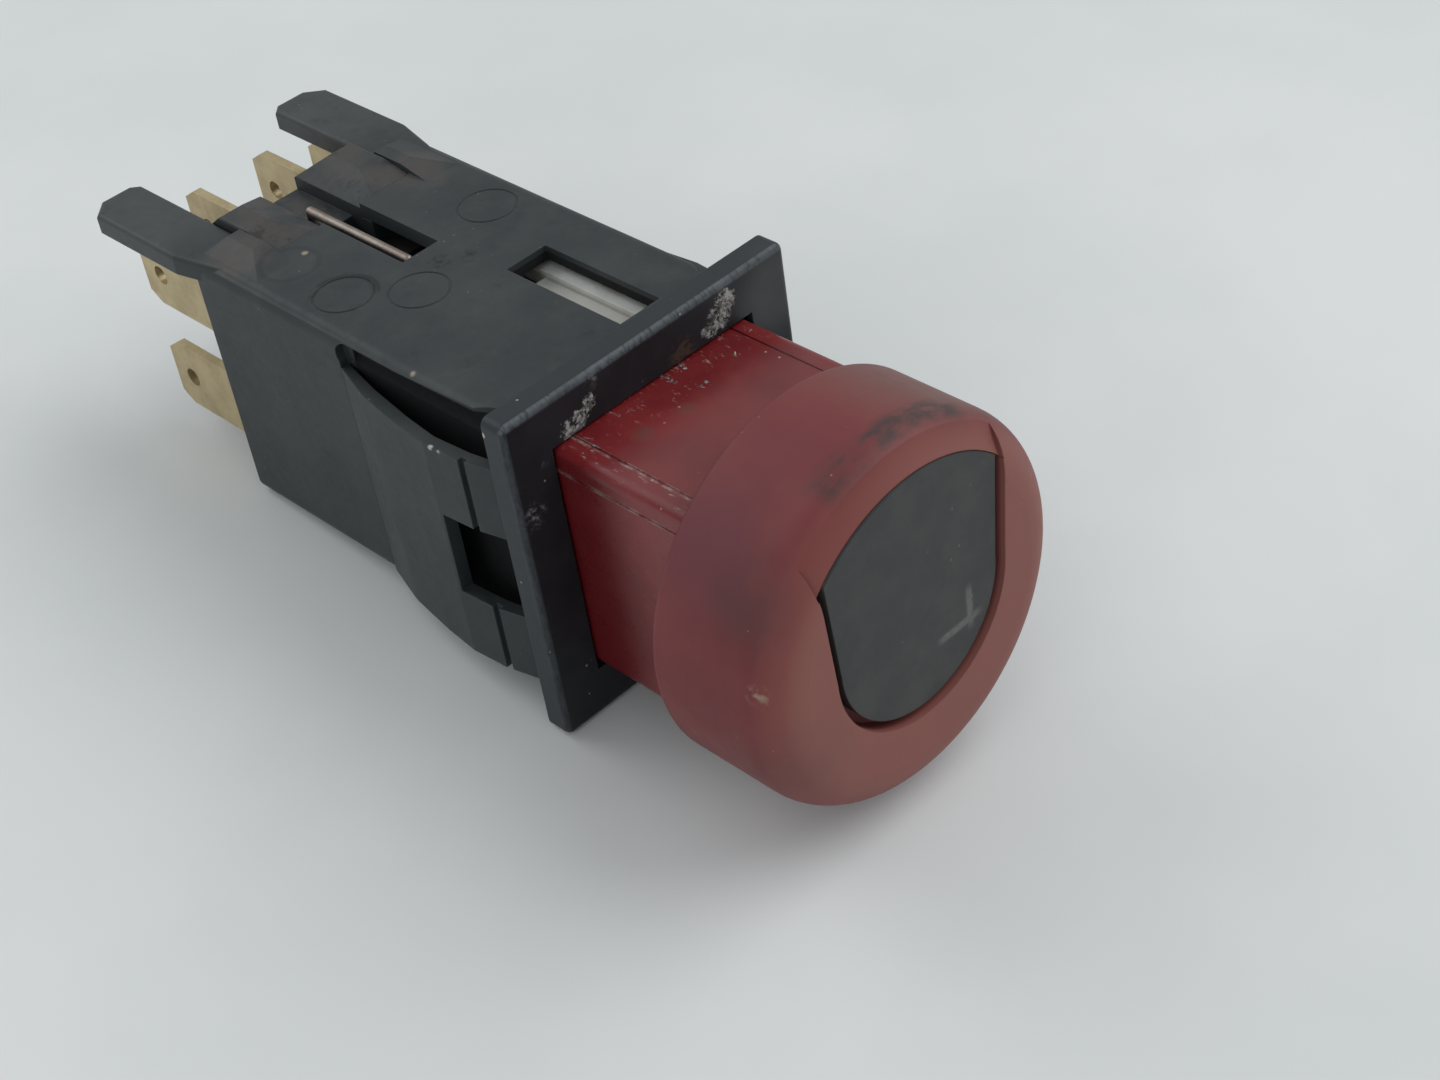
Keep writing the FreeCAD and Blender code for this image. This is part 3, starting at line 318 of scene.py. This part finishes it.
# the inner walls and mouth of the housing, where the painted shade inside it starts
LEFT_RIM_SIDE = (15.5, 17.5)
SHELL_WALL = (11.05, 10.9)
SHELL_MOUTH = (19.6, 19.2)
FLANK_REAR = (-11.0, -5.0)
FLANK_FRONT = (-8.0, -13.0)
HEAD_RIGHT = (-1.0, 8.0)
HEAD_FACE = (-24.0, -26.2)
HEAD_LEFT = (4.0, -6.0)
HEAD_TOP = (7.0, 11.0)

# noise value at which a broad, soft patch starts and is full
BROAD = (0.35, 0.7)

# upward tilt of a face at which it starts to count as a top, and is fully one
TOPS = (0.5, 0.95)
BLOCK_TOPS = (0.3, 0.9)
FLANKS = (0.3, 0.8)

# radius of the softened edges, in millimetres
MOULDED_EDGE = 0.12
FINE_EDGE = 0.1
STAMPED_EDGE = 0.08

# ---------------------------------------------------------------- black plastics


def shell_plastic():
    p = Paint("dusty_black_shell_and_painted_light", 0.5, specular=0.4)
    colour = p.mix(SHELL_BLACK, SHELL_GREY, p.cloud(*BROAD, scale=0.12, detail=4.0))
    upward = p.step(p.up, *TOPS)
    dust = p.product(upward, p.cloud(0.42, 0.75, scale=0.3, detail=6.0, rough=0.65, shift=(3, 1, 0)))
    colour = p.tint(colour, SHELL_DUST, dust, 0.22)
    # tan dust on the humps; on the left shoulder it also stands in for a painted highlight
    tan = p.balls(HUMP_DUST_AND_HIGHLIGHT)
    tan = p.product(tan, upward, p.span(p.noise(scale=0.5, detail=5.0), 0.3, 1.0))
    colour = p.tint(colour, SHELL_TAN_DUST_AND_HIGHLIGHT, tan, 0.65)
    # painted sheen: the arms are lightened towards the back to stand in for their blurred highlights
    colour = p.mix(
        colour, ARM_PAINTED_SHEEN,
        p.product(p.step(p.axes["y"], *ARM_SHEEN_FADE), p.span(p.noise(scale=0.5, detail=4.0), 0.1, 0.9)))
    dark = p.product(upward, p.cloud(0.58, 0.72, scale=0.5, detail=5.0, rough=0.7, shift=(9, 4, 2)))
    far_side = p.step(p.math("ADD", p.axes["x"], p.axes["y"]), *LEFT_RIM_SIDE)
    broken = p.cloud(0.4, 0.48, scale=0.9, detail=3.0, rough=0.6, shift=(8, 1, 0))
    arc = p.product(p.ring(*LEFT_MARK_RIM), far_side, broken)
    blots = p.balls(TOP_BLOTS)
    blots = p.product(blots, p.cloud(0.45, 0.6, scale=1.4, detail=5.0, rough=0.7))
    second = p.faded(p.ring(*REAR_MARK_RIM), 0.35)
    dark = p.either(p.faded(dark, 0.5), p.product(upward, p.either(arc, blots, second)))
    colour = p.tint(colour, STAIN, dark, 0.85)
    specks = p.product(
        p.specks(scale=0.9, size=0.09), p.cloud(0.52, 0.64, scale=0.3, detail=2.0, shift=(5, 5, 5)))
    crumbs = p.balls(SHELL_CRUMBS)
    crumbs = p.product(crumbs, p.cloud(0.35, 0.5, scale=2.2, detail=4.0))
    colour = p.mix(colour, SHELL_CRUMB, p.either(p.faded(specks, 0.45), crumbs))
    chips = p.product(p.balls(WING_CHIPS), p.cloud(0.36, 0.46, scale=4.0, detail=3.0))
    colour = p.mix(colour, BARE_CHIP, chips)
    colour = p.tint(colour, WORN_EDGE, p.edges(0.2), 0.5)
    # painted shade: the surfaces inside the housing's slit and bore are darkened nearly to black, as the
    # shadow of a deep cavity
    across = p.math("ABSOLUTE", p.axes["x"])
    painted_inner_shade = p.product(
        p.step(across, *SHELL_WALL), p.step(p.axes["y"], *SHELL_MOUTH), p.slab(*SHELL_INSIDE))
    colour = p.mix(colour, INNER_SHADE, p.span(painted_inner_shade, 0.0, 0.95))
    rough = p.math("ADD", p.span(p.noise(scale=1.2, detail=4.0), 0.42, 0.6), p.faded(painted_inner_shade, 0.35))
    return p.finish(
        colour, rough, p.noise(scale=6.0, detail=4.0, rough=0.6), bump=0.25, depth=0.03,
        soften=MOULDED_EDGE)


def block_plastic():
    p = Paint("dusty_black_block", 0.55, specular=0.4)
    colour = p.mix(BLOCK_BLACK, BLOCK_GREY, p.cloud(*BROAD, scale=0.12, detail=4.0))
    upward = p.step(p.up, *BLOCK_TOPS)
    tan = p.product(upward, p.cloud(0.36, 0.62, scale=0.22, detail=5.0, rough=0.6, shift=(2, 7, 1)))
    colour = p.tint(colour, BLOCK_TAN, tan, 0.45)
    grime = p.product(upward, p.cloud(0.54, 0.64, scale=0.6, detail=5.0, rough=0.7))
    colour = p.tint(colour, BLOCK_GRIME, grime, 0.6)
    crumbs = p.product(
        p.specks(scale=0.5, size=0.13), upward,
        p.cloud(0.55, 0.65, scale=0.4, detail=2.0, shift=(1, 8, 5)))
    colour = p.tint(colour, BLOCK_CRUMB, crumbs, 0.7)
    colour = p.tint(colour, WORN_EDGE, p.edges(0.2), 0.4)
    rough = p.span(p.noise(scale=1.5, detail=4.0), 0.45, 0.65)
    return p.finish(
        colour, rough, p.noise(scale=5.0, detail=4.0), bump=0.25, depth=0.03, soften=MOULDED_EDGE)


# x, z and radius of the patches of dried crust on the bezel's front face
CRUSTS = (
    (-8.2, 10.8, 0.6), (-7.2, 11.2, 0.6), (-6.2, 11.9, 0.5),
    (5.9, 11.3, 0.7), (6.9, 11.9, 1.1), (7.6, 12.7, 0.9),
)
BEZEL_FRONT = -2.1
# the solid share of a patch's radius, and the width of its fade
CRUST_CORE = 0.8
CRUST_FADE = 0.9


def bezel_plastic():
    p = Paint("scuffed_black_bezel_and_painted_light", 0.4, specular=0.3)
    colour = p.mix(BEZEL_BLACK, BEZEL_GREY, p.cloud(*BROAD, scale=0.2, detail=4.0))
    # painted light: all faces but the front are lightened, so the top and sides read as lit and the front as
    # shaded
    side = p.math("SUBTRACT", 1.0, p.slab(*BEZEL_FACE))
    colour = p.tint(colour, BEZEL_LIT_SIDE, side, 0.8)
    # painted highlight: a thin light line along the top front edge and a fainter one down the left front edge,
    # broken up by streaky noise like scuffing
    edge_highlight = p.product(p.slab(*BEZEL_TOP_LIP), p.slab(*BEZEL_TOP_EDGE))
    edge_highlight = p.either(edge_highlight, p.faded(p.product(p.slab(*BEZEL_LEFT_LIP), p.slab(*BEZEL_LEFT_EDGE)), 0.35))
    streak = p.cloud(0.25, 0.6, scale=1.6, detail=5.0, rough=0.7, stretch=(2.0, 0.6, 0.6))
    colour = p.mix(colour, BEZEL_HIGHLIGHT_AND_SCUFF, p.product(edge_highlight, streak, p.span(p.noise(scale=0.3), 0.3, 1.0)))
    crust = p.either(
        *(p.ball((x, BEZEL_FRONT, z), radius * CRUST_CORE, CRUST_FADE) for x, z, radius in CRUSTS))
    faint = p.balls(BEZEL_FLECKS)
    ragged = p.math(
        "ADD", p.noise(scale=2.0, detail=6.0, rough=0.75, stretch=(1, 0.4, 1.2), shift=(4, 0, 2)),
        p.faded(crust, 0.28))
    flecks = p.product(faint, p.cloud(0.5, 0.58, scale=2.2, detail=6.0, rough=0.8, shift=(1, 0, 6)))
    crust = p.either(p.step(ragged, 0.7, 0.77), p.faded(flecks, 0.45))
    pale = p.mix(CRUST_SHADOW, CRUST_PALE, p.cloud(0.42, 0.62, scale=1.8, detail=4.0, shift=(3, 3, 3)))
    colour = p.mix(colour, pale, crust)
    gap = p.product(
        p.ball(*BEZEL_GAP),
        p.cloud(0.45, 0.55, scale=1.2, detail=5.0, stretch=(1, 1, 1.6), shift=(2, 2, 2)))
    colour = p.tint(colour, CHIPPED_BROWN, gap, 0.8)
    haze = p.product(p.ball(*BEZEL_CLOUD), p.span(p.noise(scale=0.5, detail=4.0), 0.4, 1.0))
    colour = p.tint(colour, BEZEL_HAZE, haze, 0.8)
    chips = p.product(
        p.specks(scale=0.8, size=0.1, shift=(2, 2, 2)),
        p.cloud(0.54, 0.62, scale=0.4, detail=2.0, shift=(7, 0, 1)))
    chip = p.ball(*BEZEL_CORNER_CHIP)
    colour = p.mix(colour, BARE_CHIP, p.either(p.faded(chips, 0.5), chip))
    colour = p.tint(colour, BEZEL_EDGE, p.edges(0.15), 0.4)
    rough = p.math("ADD", p.span(p.noise(scale=1.0, detail=4.0), 0.38, 0.52), p.faded(crust, 0.3))
    height = p.math("ADD", p.faded(p.noise(scale=7.0, detail=4.0), 0.2), crust)
    return p.finish(colour, rough, height, bump=0.5, depth=0.1, soften=MOULDED_EDGE)


# ---------------------------------------------------------------- red plastics


def stem_plastic():
    p = Paint("glossy_red_stem", 0.3, specular=0.45)
    colour = p.mix(STEM_DEEP_RED, STEM_RED, p.cloud(0.35, 0.65, scale=0.18, detail=3.0))
    upward = p.step(p.up, *TOPS)
    hazy = p.product(upward, p.slab(*STEM_HAZE_BAND), p.span(p.noise(scale=0.5, detail=5.0), 0.6, 1.0))
    colour = p.tint(colour, STEM_HAZE, hazy, 0.45)
    lines = p.either(p.slab(*STEM_TOP_GROOVE), p.slab(*STEM_SIDE_GROOVE))
    lines = p.product(
        lines,
        p.cloud(0.42, 0.6, scale=0.7, detail=6.0, rough=0.75, stretch=(1, 0.8, 1), shift=(1, 7, 0)))
    near_edge = p.either(p.slab(*STEM_LEFT_EDGE), p.slab(*STEM_REAR_END))
    scratch = p.cloud(
        0.58, 0.66, scale=1.6, detail=6.0, rough=0.8, stretch=(1.6, 0.5, 1.0), shift=(1, 2, 0))
    worn = p.either(p.product(near_edge, scratch, upward), lines)
    colour = p.tint(colour, STEM_SCRATCH, worn, 0.55)
    dots = p.product(
        p.specks(scale=0.75, size=0.1), p.cloud(0.48, 0.6, scale=0.35, detail=2.0, shift=(3, 3, 0)))
    colour = p.tint(colour, STEM_DOT, dots, 0.6)
    smears = p.balls(STEM_SMEARS)
    smears = p.product(smears, p.span(p.noise(scale=0.9, detail=5.0, stretch=(0.6, 1.4, 1)), 0.1, 1.0))
    colour = p.tint(colour, STEM_SMEAR, smears, 0.8)
    # painted shade and light on the stem's sides: darker near the bezel, for its shadow and dark reflection,
    # and lighter towards the head, as a lit facet
    flank = p.math("SUBTRACT", 1.0, p.step(p.up, *FLANKS))
    colour = p.mix(
        colour, FLANK_PAINTED_SHADE, p.product(flank, p.step(p.axes["y"], *FLANK_REAR), p.span(flank, 0.0, 0.65)))
    colour = p.mix(
        colour, FLANK_PAINTED_LIGHT, p.product(flank, p.step(p.axes["y"], *FLANK_FRONT), p.span(flank, 0.0, 0.4)))
    rough = p.math(
        "ADD", p.span(p.noise(scale=0.9, detail=5.0), 0.22, 0.36), p.faded(p.either(worn, hazy), 0.25))
    height = p.math("ADD", p.faded(p.noise(scale=3.0, detail=4.0), 0.4), worn)
    return p.finish(colour, rough, height, bump=0.3, depth=0.03, soften=MOULDED_EDGE)


def head_plastic():
    p = Paint("faded_red_head", 0.55, specular=0.35)
    soft = p.noise(scale=0.11, detail=3.0, rough=0.5)
    colour = p.mix(HEAD_DEEP_RED, HEAD_RED, p.step(soft, 0.3, 0.7))
    brown = p.product(
        p.step(p.axes["x"], *HEAD_RIGHT), p.slab(*HEAD_BROWN_BAND),
        p.span(p.noise(scale=0.25, detail=4.0), 0.4, 1.0))
    colour = p.tint(colour, HEAD_BROWN, brown, 0.85)
    vivid = p.ball(*HEAD_CROWN)
    colour = p.tint(colour, HEAD_VIVID, vivid, 0.7)
    purple = p.ball(*HEAD_SHOULDER)
    colour = p.tint(colour, HEAD_PURPLE, purple, 0.6)
    face = p.step(p.axes["y"], *HEAD_FACE)
    colour = p.tint(colour, FACE_PALE_RED, face, 0.85)
    rim = p.product(p.slab(*HEAD_RIM), p.step(p.axes["x"], *HEAD_LEFT))
    colour = p.tint(colour, RIM_RED, rim, 0.5)
    grime_map = p.span(
        p.cloud(0.38, 0.6, scale=0.5, detail=6.0, rough=0.62, stretch=(0.7, 1.5, 1.0), shift=(2, 4, 1)),
        0.15, 1.0)
    grime = p.product(p.slab(*GRIME_DEPTH), p.slab(*GRIME_WIDTH), p.step(p.axes["z"], *HEAD_TOP), grime_map)
    smudge = p.product(
        p.ball(*HEAD_SMUDGE), p.span(p.noise(scale=0.5, detail=5.0, shift=(6, 1, 1)), 0.1, 1.0))
    # painted shade: the head's lower left is darkened with the same colour as the grime
    low = p.product(
        p.ball(*HEAD_LOW_SHADE), p.span(p.noise(scale=0.3, detail=4.0, shift=(2, 1, 1)), 0.2, 1.0))
    soil_and_shade = p.either(p.faded(grime, 0.8), p.faded(smudge, 0.6), p.faded(low, 0.35))
    colour = p.mix(colour, HEAD_SOIL_AND_SHADE, soil_and_shade)
    scuff = p.product(p.ball(*HEAD_SIDE_SCUFF), p.cloud(0.4, 0.6, scale=1.6, detail=5.0))
    dots = p.product(
        p.specks(scale=0.7, size=0.07), p.cloud(0.5, 0.6, scale=0.3, detail=2.0, shift=(1, 3, 7)))
    colour = p.mix(colour, HEAD_SCUFF, p.either(p.faded(scuff, 0.7), p.faded(dots, 0.5)))
    rough = p.span(p.noise(scale=1.0, detail=5.0), 0.48, 0.64)
    return p.finish(
        colour, rough, p.noise(scale=4.0, detail=5.0, rough=0.65), bump=0.3, depth=0.03, soften=FINE_EDGE)


def plate_plastic():
    p = Paint("matte_charcoal_plate", 0.6, specular=0.35)
    colour = p.mix(PLATE_CHARCOAL, PLATE_GREY, p.cloud(*BROAD, scale=0.3, detail=4.0))
    across = p.product(p.slab(*SCUFF_ACROSS), p.slab(*SCUFF_FOOT))
    upright = p.product(p.slab(*SCUFF_UPRIGHT), p.slab(*SCUFF_STEM))
    scuff = p.product(p.either(across, upright), p.span(p.noise(scale=2.0, detail=5.0), 0.1, 1.0))
    colour = p.tint(colour, PLATE_SCUFF, scuff, 0.65)
    fluff = p.product(
        p.specks(scale=0.6, size=0.09, stretch=(1.6, 1, 0.8)),
        p.cloud(0.47, 0.6, scale=0.35, detail=2.0, shift=(2, 0, 6)))
    colour = p.tint(colour, PLATE_FLUFF, fluff, 0.6)
    return p.finish(
        colour, p.span(p.noise(scale=1.5, detail=4.0), 0.52, 0.66), p.noise(scale=6.0, detail=4.0),
        bump=0.25, depth=0.03, soften=FINE_EDGE)


# ---------------------------------------------------------------- slider, metals and lamp


def slider_plastic():
    p = Paint("white_slider_acetal", 0.4, specular=0.5)
    p.shader.inputs["Subsurface Weight"].default_value = 0.15
    p.shader.inputs["Subsurface Scale"].default_value = 0.001
    colour = p.mix(SLIDER_WHITE, SLIDER_CREAM, p.cloud(*BROAD, scale=0.4, detail=5.0))
    # the ledge below the ridge is painted beige, both as dust and as painted shade
    ledge = p.product(p.slab(*SLIDER_LEDGE_HEIGHT), p.slab(*SLIDER_LEDGE_WIDTH))
    colour = p.tint(colour, SLIDER_LEDGE, ledge, 0.5)
    dirt = p.cloud(0.55, 0.7, scale=0.8, detail=6.0, rough=0.7, stretch=(1.5, 0.4, 1))
    colour = p.tint(colour, SLIDER_DIRT, dirt, 0.35)
    return p.finish(
        colour, p.span(p.noise(scale=1.0, detail=4.0), 0.32, 0.5), p.noise(scale=3.0, detail=4.0),
        bump=0.2, depth=0.02, soften=FINE_EDGE)


# how much smoother and rougher the grain makes a metal, and how dark and fine its spots are
GRAIN_POLISH = 0.08
GRAIN_DULL = 0.12
SPOT_DARKNESS = 0.4
SPOT_FINENESS = 3.0


def metal(name, light, dark, rough, tarnish=0.5, scale=0.5, metal_share=1.0):
    p = Paint(name, rough, metal=metal_share)
    cloud = p.cloud(0.35, 0.68, scale=scale, detail=6.0, rough=0.65)
    colour = p.tint(light, dark, cloud, tarnish)
    spots = p.cloud(0.6, 0.7, scale=scale * SPOT_FINENESS, detail=5.0, rough=0.7, shift=(4, 4, 4))
    colour = p.tint(colour, tuple(channel * SPOT_DARKNESS for channel in dark), spots, 0.35)
    grain = p.noise(scale=6.0, detail=4.0, rough=0.6, stretch=(1.0, 0.15, 1.0))
    return p.finish(
        colour, p.span(grain, rough - GRAIN_POLISH, rough + GRAIN_DULL), grain, bump=0.2, depth=0.015,
        soften=STAMPED_EDGE)


def bulb_glass():
    p = Paint("lamp_glass_envelope", 0.06)
    p.shader.inputs["Transmission Weight"].default_value = 0.9
    p.shader.inputs["IOR"].default_value = 1.45
    colour = p.mix(GLASS_CLEAR, GLASS_SMOKY, p.cloud(0.4, 0.7, scale=0.6, detail=3.0))
    return p.finish(colour, p.span(p.noise(scale=2.0, detail=3.0), 0.03, 0.12))


BRASS = metal("tarnished_brass_blade", (0.6, 0.49, 0.29), (0.4, 0.3, 0.16), 0.42, 0.6, 0.4, 0.8)
BRONZE = metal("bronze_strip", (0.62, 0.4, 0.24), (0.36, 0.2, 0.1), 0.35)
SILVER = metal("silver_contact_alloy", (0.8, 0.8, 0.78), (0.45, 0.44, 0.42), 0.3)
STEEL = metal("drawn_spring_steel", (0.42, 0.42, 0.42), (0.24, 0.23, 0.22), 0.32)
WIRE = metal("dull_latch_wire", (0.36, 0.31, 0.28), (0.2, 0.15, 0.12), 0.45)
SHELL = shell_plastic()
BLOCK = block_plastic()
BASE = metal("grey_lamp_base", (0.2, 0.2, 0.19), (0.12, 0.11, 0.1), 0.5, metal_share=0.0)

FINISHES = {
    "housing": SHELL,
    "left_snap_wing": SHELL,
    "right_snap_wing": SHELL,
    "bezel_frame": bezel_plastic(),
    "terminal_block": BLOCK,
    "stem": stem_plastic(),
    "head": head_plastic(),
    "inset_plate": plate_plastic(),
    "slider": slider_plastic(),
    "return_spring": STEEL,
    "latch_pin": WIRE,
    "fixed_contact_rivets": SILVER,
    "moving_contact_rivets": SILVER,
    "lamp_holder": BASE,
    "lamp_cap": BASE,
    "lamp_bulb": bulb_glass(),
    "lamp_contact_right": BRONZE,
    "lamp_contact_left": BRONZE,
}
for side in ("right", "left", "lower"):
    FINISHES[side + "_contact_bridge"] = BRONZE
    FINISHES[side + "_contact_spring"] = STEEL

for name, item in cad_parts.items():
    item.data.materials.clear()
    item.data.materials.append(FINISHES.get(name, BRASS))

# ---------------------------------------------------------------- return spring, copied onto the housing with a mesh of its own; the button shortens it in the real switch

cad_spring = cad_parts["return_spring"]
coil = bpy.data.objects.new("return_coil", cad_spring.data.copy())
bpy.context.scene.collection.objects.link(coil)
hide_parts("return_spring")
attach(coil, "housing")
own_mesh(coil)

# ---------------------------------------------------------------- crust flakes on the bezel and stem

SEED = 7
# a flake's length and breadth as shares of its size, and how far its points move in or out
FLAKE_LENGTHS = (1.0, 2.4)
FLAKE_BREADTHS = (0.35, 0.8)
FLAKE_LUMPS = (0.5, 1.3)
FLAKE_DETAIL = 2
# sizes in millimetres, the rise as a share of the size, and how many flakes per millimetre of a patch's radius
SMALLEST_FLAKE = 0.04
FLAKE_SPREAD = 0.14
FLAKE_RISE = 0.22
FLAKES_PER_RADIUS = 22

rng = random.Random(SEED)


def flake(bm, centre, normal, width, thick):
    """An irregular low lump sitting on a surface."""
    turn = Vector(normal).to_track_quat("Z", "Y").to_matrix().to_4x4()
    spin = Matrix.Rotation(rng.uniform(0, math.tau), 4, "Z")
    length = width * rng.uniform(*FLAKE_LENGTHS)
    breadth = width * rng.uniform(*FLAKE_BREADTHS)
    scale = Matrix.Diagonal((length, breadth, thick, 1.0))
    made = bmesh.ops.create_icosphere(bm, subdivisions=FLAKE_DETAIL, radius=1.0)
    for vert in made["verts"]:
        vert.co *= rng.uniform(*FLAKE_LUMPS)
    bmesh.ops.transform(bm, matrix=Matrix.Translation(centre) @ turn @ spin @ scale, verts=made["verts"])


def flakes(name, spots, normal, body, spread_axes, finish):
    """Scatter flakes round spots on one flat face."""
    bm = bmesh.new()
    for centre, radius, count in spots:
        for _ in range(count):
            away = radius * math.sqrt(rng.random())
            turn = rng.uniform(0, math.tau)
            place = Vector(centre)
            place[spread_axes[0]] += away * math.cos(turn)
            place[spread_axes[1]] += away * math.sin(turn)
            size = SMALLEST_FLAKE + FLAKE_SPREAD * rng.random() ** 2
            flake(bm, place * MM, normal, size * MM, size * FLAKE_RISE * MM)
    mesh = bpy.data.meshes.new(name)
    bm.to_mesh(mesh)
    bm.free()
    mesh.materials.append(finish)
    piece = bpy.data.objects.new(name, mesh)
    bpy.context.scene.collection.objects.link(piece)
    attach(piece, body)


def crust_paint():
    p = Paint("pale_dry_crust", 0.8, specular=0.2)
    colour = p.mix(FLAKE_PALE, FLAKE_DARK, p.cloud(0.35, 0.62, scale=1.6, detail=4.0))
    return p.finish(
        colour, p.span(p.noise(scale=3.0), 0.7, 0.9), p.noise(scale=8.0, detail=4.0), bump=0.4,
        depth=0.03)


# x, y, radius and number of the crumbs on the stem's top
STEM_CRUMBS = (
    (2.2, -2.4, 0.5, 14), (0.8, -2.3, 0.4, 9), (0.7, -3.2, 0.4, 6),
    (8.3, -3.2, 0.3, 3), (5.8, -4.6, 0.3, 3), (-0.6, -4.5, 0.3, 2),
    (1.6, -5.5, 0.7, 6), (-4.0, -3.1, 0.5, 3), (-7.9, -4.2, 0.4, 4),
)
CRUST = crust_paint()
bezel_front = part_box("bezel_frame")[0].y / MM
stem_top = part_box("stem")[1].z / MM
face_spots = [((x, bezel_front, z), radius, round(FLAKES_PER_RADIUS * radius)) for x, z, radius in CRUSTS]
flakes("bezel_crust", face_spots, (0, -1, 0), "housing", (0, 2), CRUST)
top_spots = [((x, y, stem_top), radius, count) for x, y, radius, count in STEM_CRUMBS]
flakes("stem_crust", top_spots, (0, 0, 1), "button", (0, 1), CRUST)

# ---------------------------------------------------------------- table, light and camera

# half the table's side, in metres
TABLE_HALF = 3.0
# how much more a low vertex counts than a rearward one when the rear contact is looked for
LOW_OVER_REAR = 10

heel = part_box("bezel_frame")[0]
rear = min(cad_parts["housing"].data.vertices, key=lambda vert: vert.co.z * LOW_OVER_REAR - vert.co.y).co
slope = math.atan2(rear.z - heel.z, rear.y)

paint = Paint("pale_table_top", 0.5, specular=0.3)
tone = paint.mix(TABLE_GREY, TABLE_PALE, paint.cloud(*BROAD, scale=0.02, detail=4.0))
table_finish = paint.finish(tone, paint.span(paint.noise(scale=0.05, detail=3.0), 0.45, 0.6))
mesh = bpy.data.meshes.new("table_top")
corners = [(x * TABLE_HALF, y * TABLE_HALF, 0) for x, y in ((-1, -1), (1, -1), (1, 1), (-1, 1))]
mesh.from_pydata(corners, [], [(0, 1, 2, 3)])
mesh.materials.append(table_finish)
table = bpy.data.objects.new("table_top", mesh)
table.matrix_world = Matrix.Translation((0.0, 0.0, heel.z)) @ Matrix.Rotation(slope, 4, "X")
bpy.context.scene.collection.objects.link(table)

LIGHT_AIM = Vector((0, 0.01, 0))


def area_light(name, place, size, power):
    data = bpy.data.lights.new(name, "AREA")
    data.shape = "DISK"
    data.size = size
    data.energy = power
    lamp = bpy.data.objects.new(name, data)
    lamp.location = place
    lamp.rotation_euler = (LIGHT_AIM - Vector(place)).to_track_quat("-Z", "Y").to_euler()
    bpy.context.scene.collection.objects.link(lamp)


area_light("key_softbox", (0.5, -0.3, 0.6), 0.8, 3.1)
area_light("rear_softbox", (-0.15, 0.6, 0.55), 0.6, 1.3)
area_light("left_fill", (-0.7, -0.25, 0.35), 0.7, 0.9)

SKY = (0.86, 0.92, 0.94)
SKY_STRENGTH = 0.5
world = bpy.data.worlds.new("studio")
world.use_nodes = True
background = world.node_tree.nodes["Background"]
background.inputs["Color"].default_value = (*SKY, 1.0)
background.inputs["Strength"].default_value = SKY_STRENGTH
bpy.context.scene.world = world
bpy.context.scene.view_settings.view_transform = "Standard"

# the camera's focal length and frame width in the same unit, its sensor in mm, its axes and its place in mm
FOCAL_LENGTH = 2440.5
FRAME_WIDTH = 1440.0
SENSOR_WIDTH = 36.0
NEAREST_SEEN = 0.005
CAMERA_RIGHT = (0.69762, -0.70574, -0.12355)
CAMERA_BACK = (-0.49301, -0.59797, 0.63196)
CAMERA_PLACE = (-87.85, -112.95, 110.18)

camera_data = bpy.data.cameras.new("camera")
camera_data.sensor_width = SENSOR_WIDTH
camera_data.lens = FOCAL_LENGTH / FRAME_WIDTH * SENSOR_WIDTH
camera_data.clip_start = NEAREST_SEEN
camera = bpy.data.objects.new("camera", camera_data)
right_axis = Vector(CAMERA_RIGHT).normalized()
back_axis = Vector(CAMERA_BACK).normalized()
up_axis = back_axis.cross(right_axis).normalized()
right_axis = up_axis.cross(back_axis)
pose = Matrix((right_axis, up_axis, back_axis)).transposed().to_4x4()
pose.translation = Vector(CAMERA_PLACE) * MM
camera.matrix_world = pose
bpy.context.scene.collection.objects.link(camera)
bpy.context.scene.camera = camera
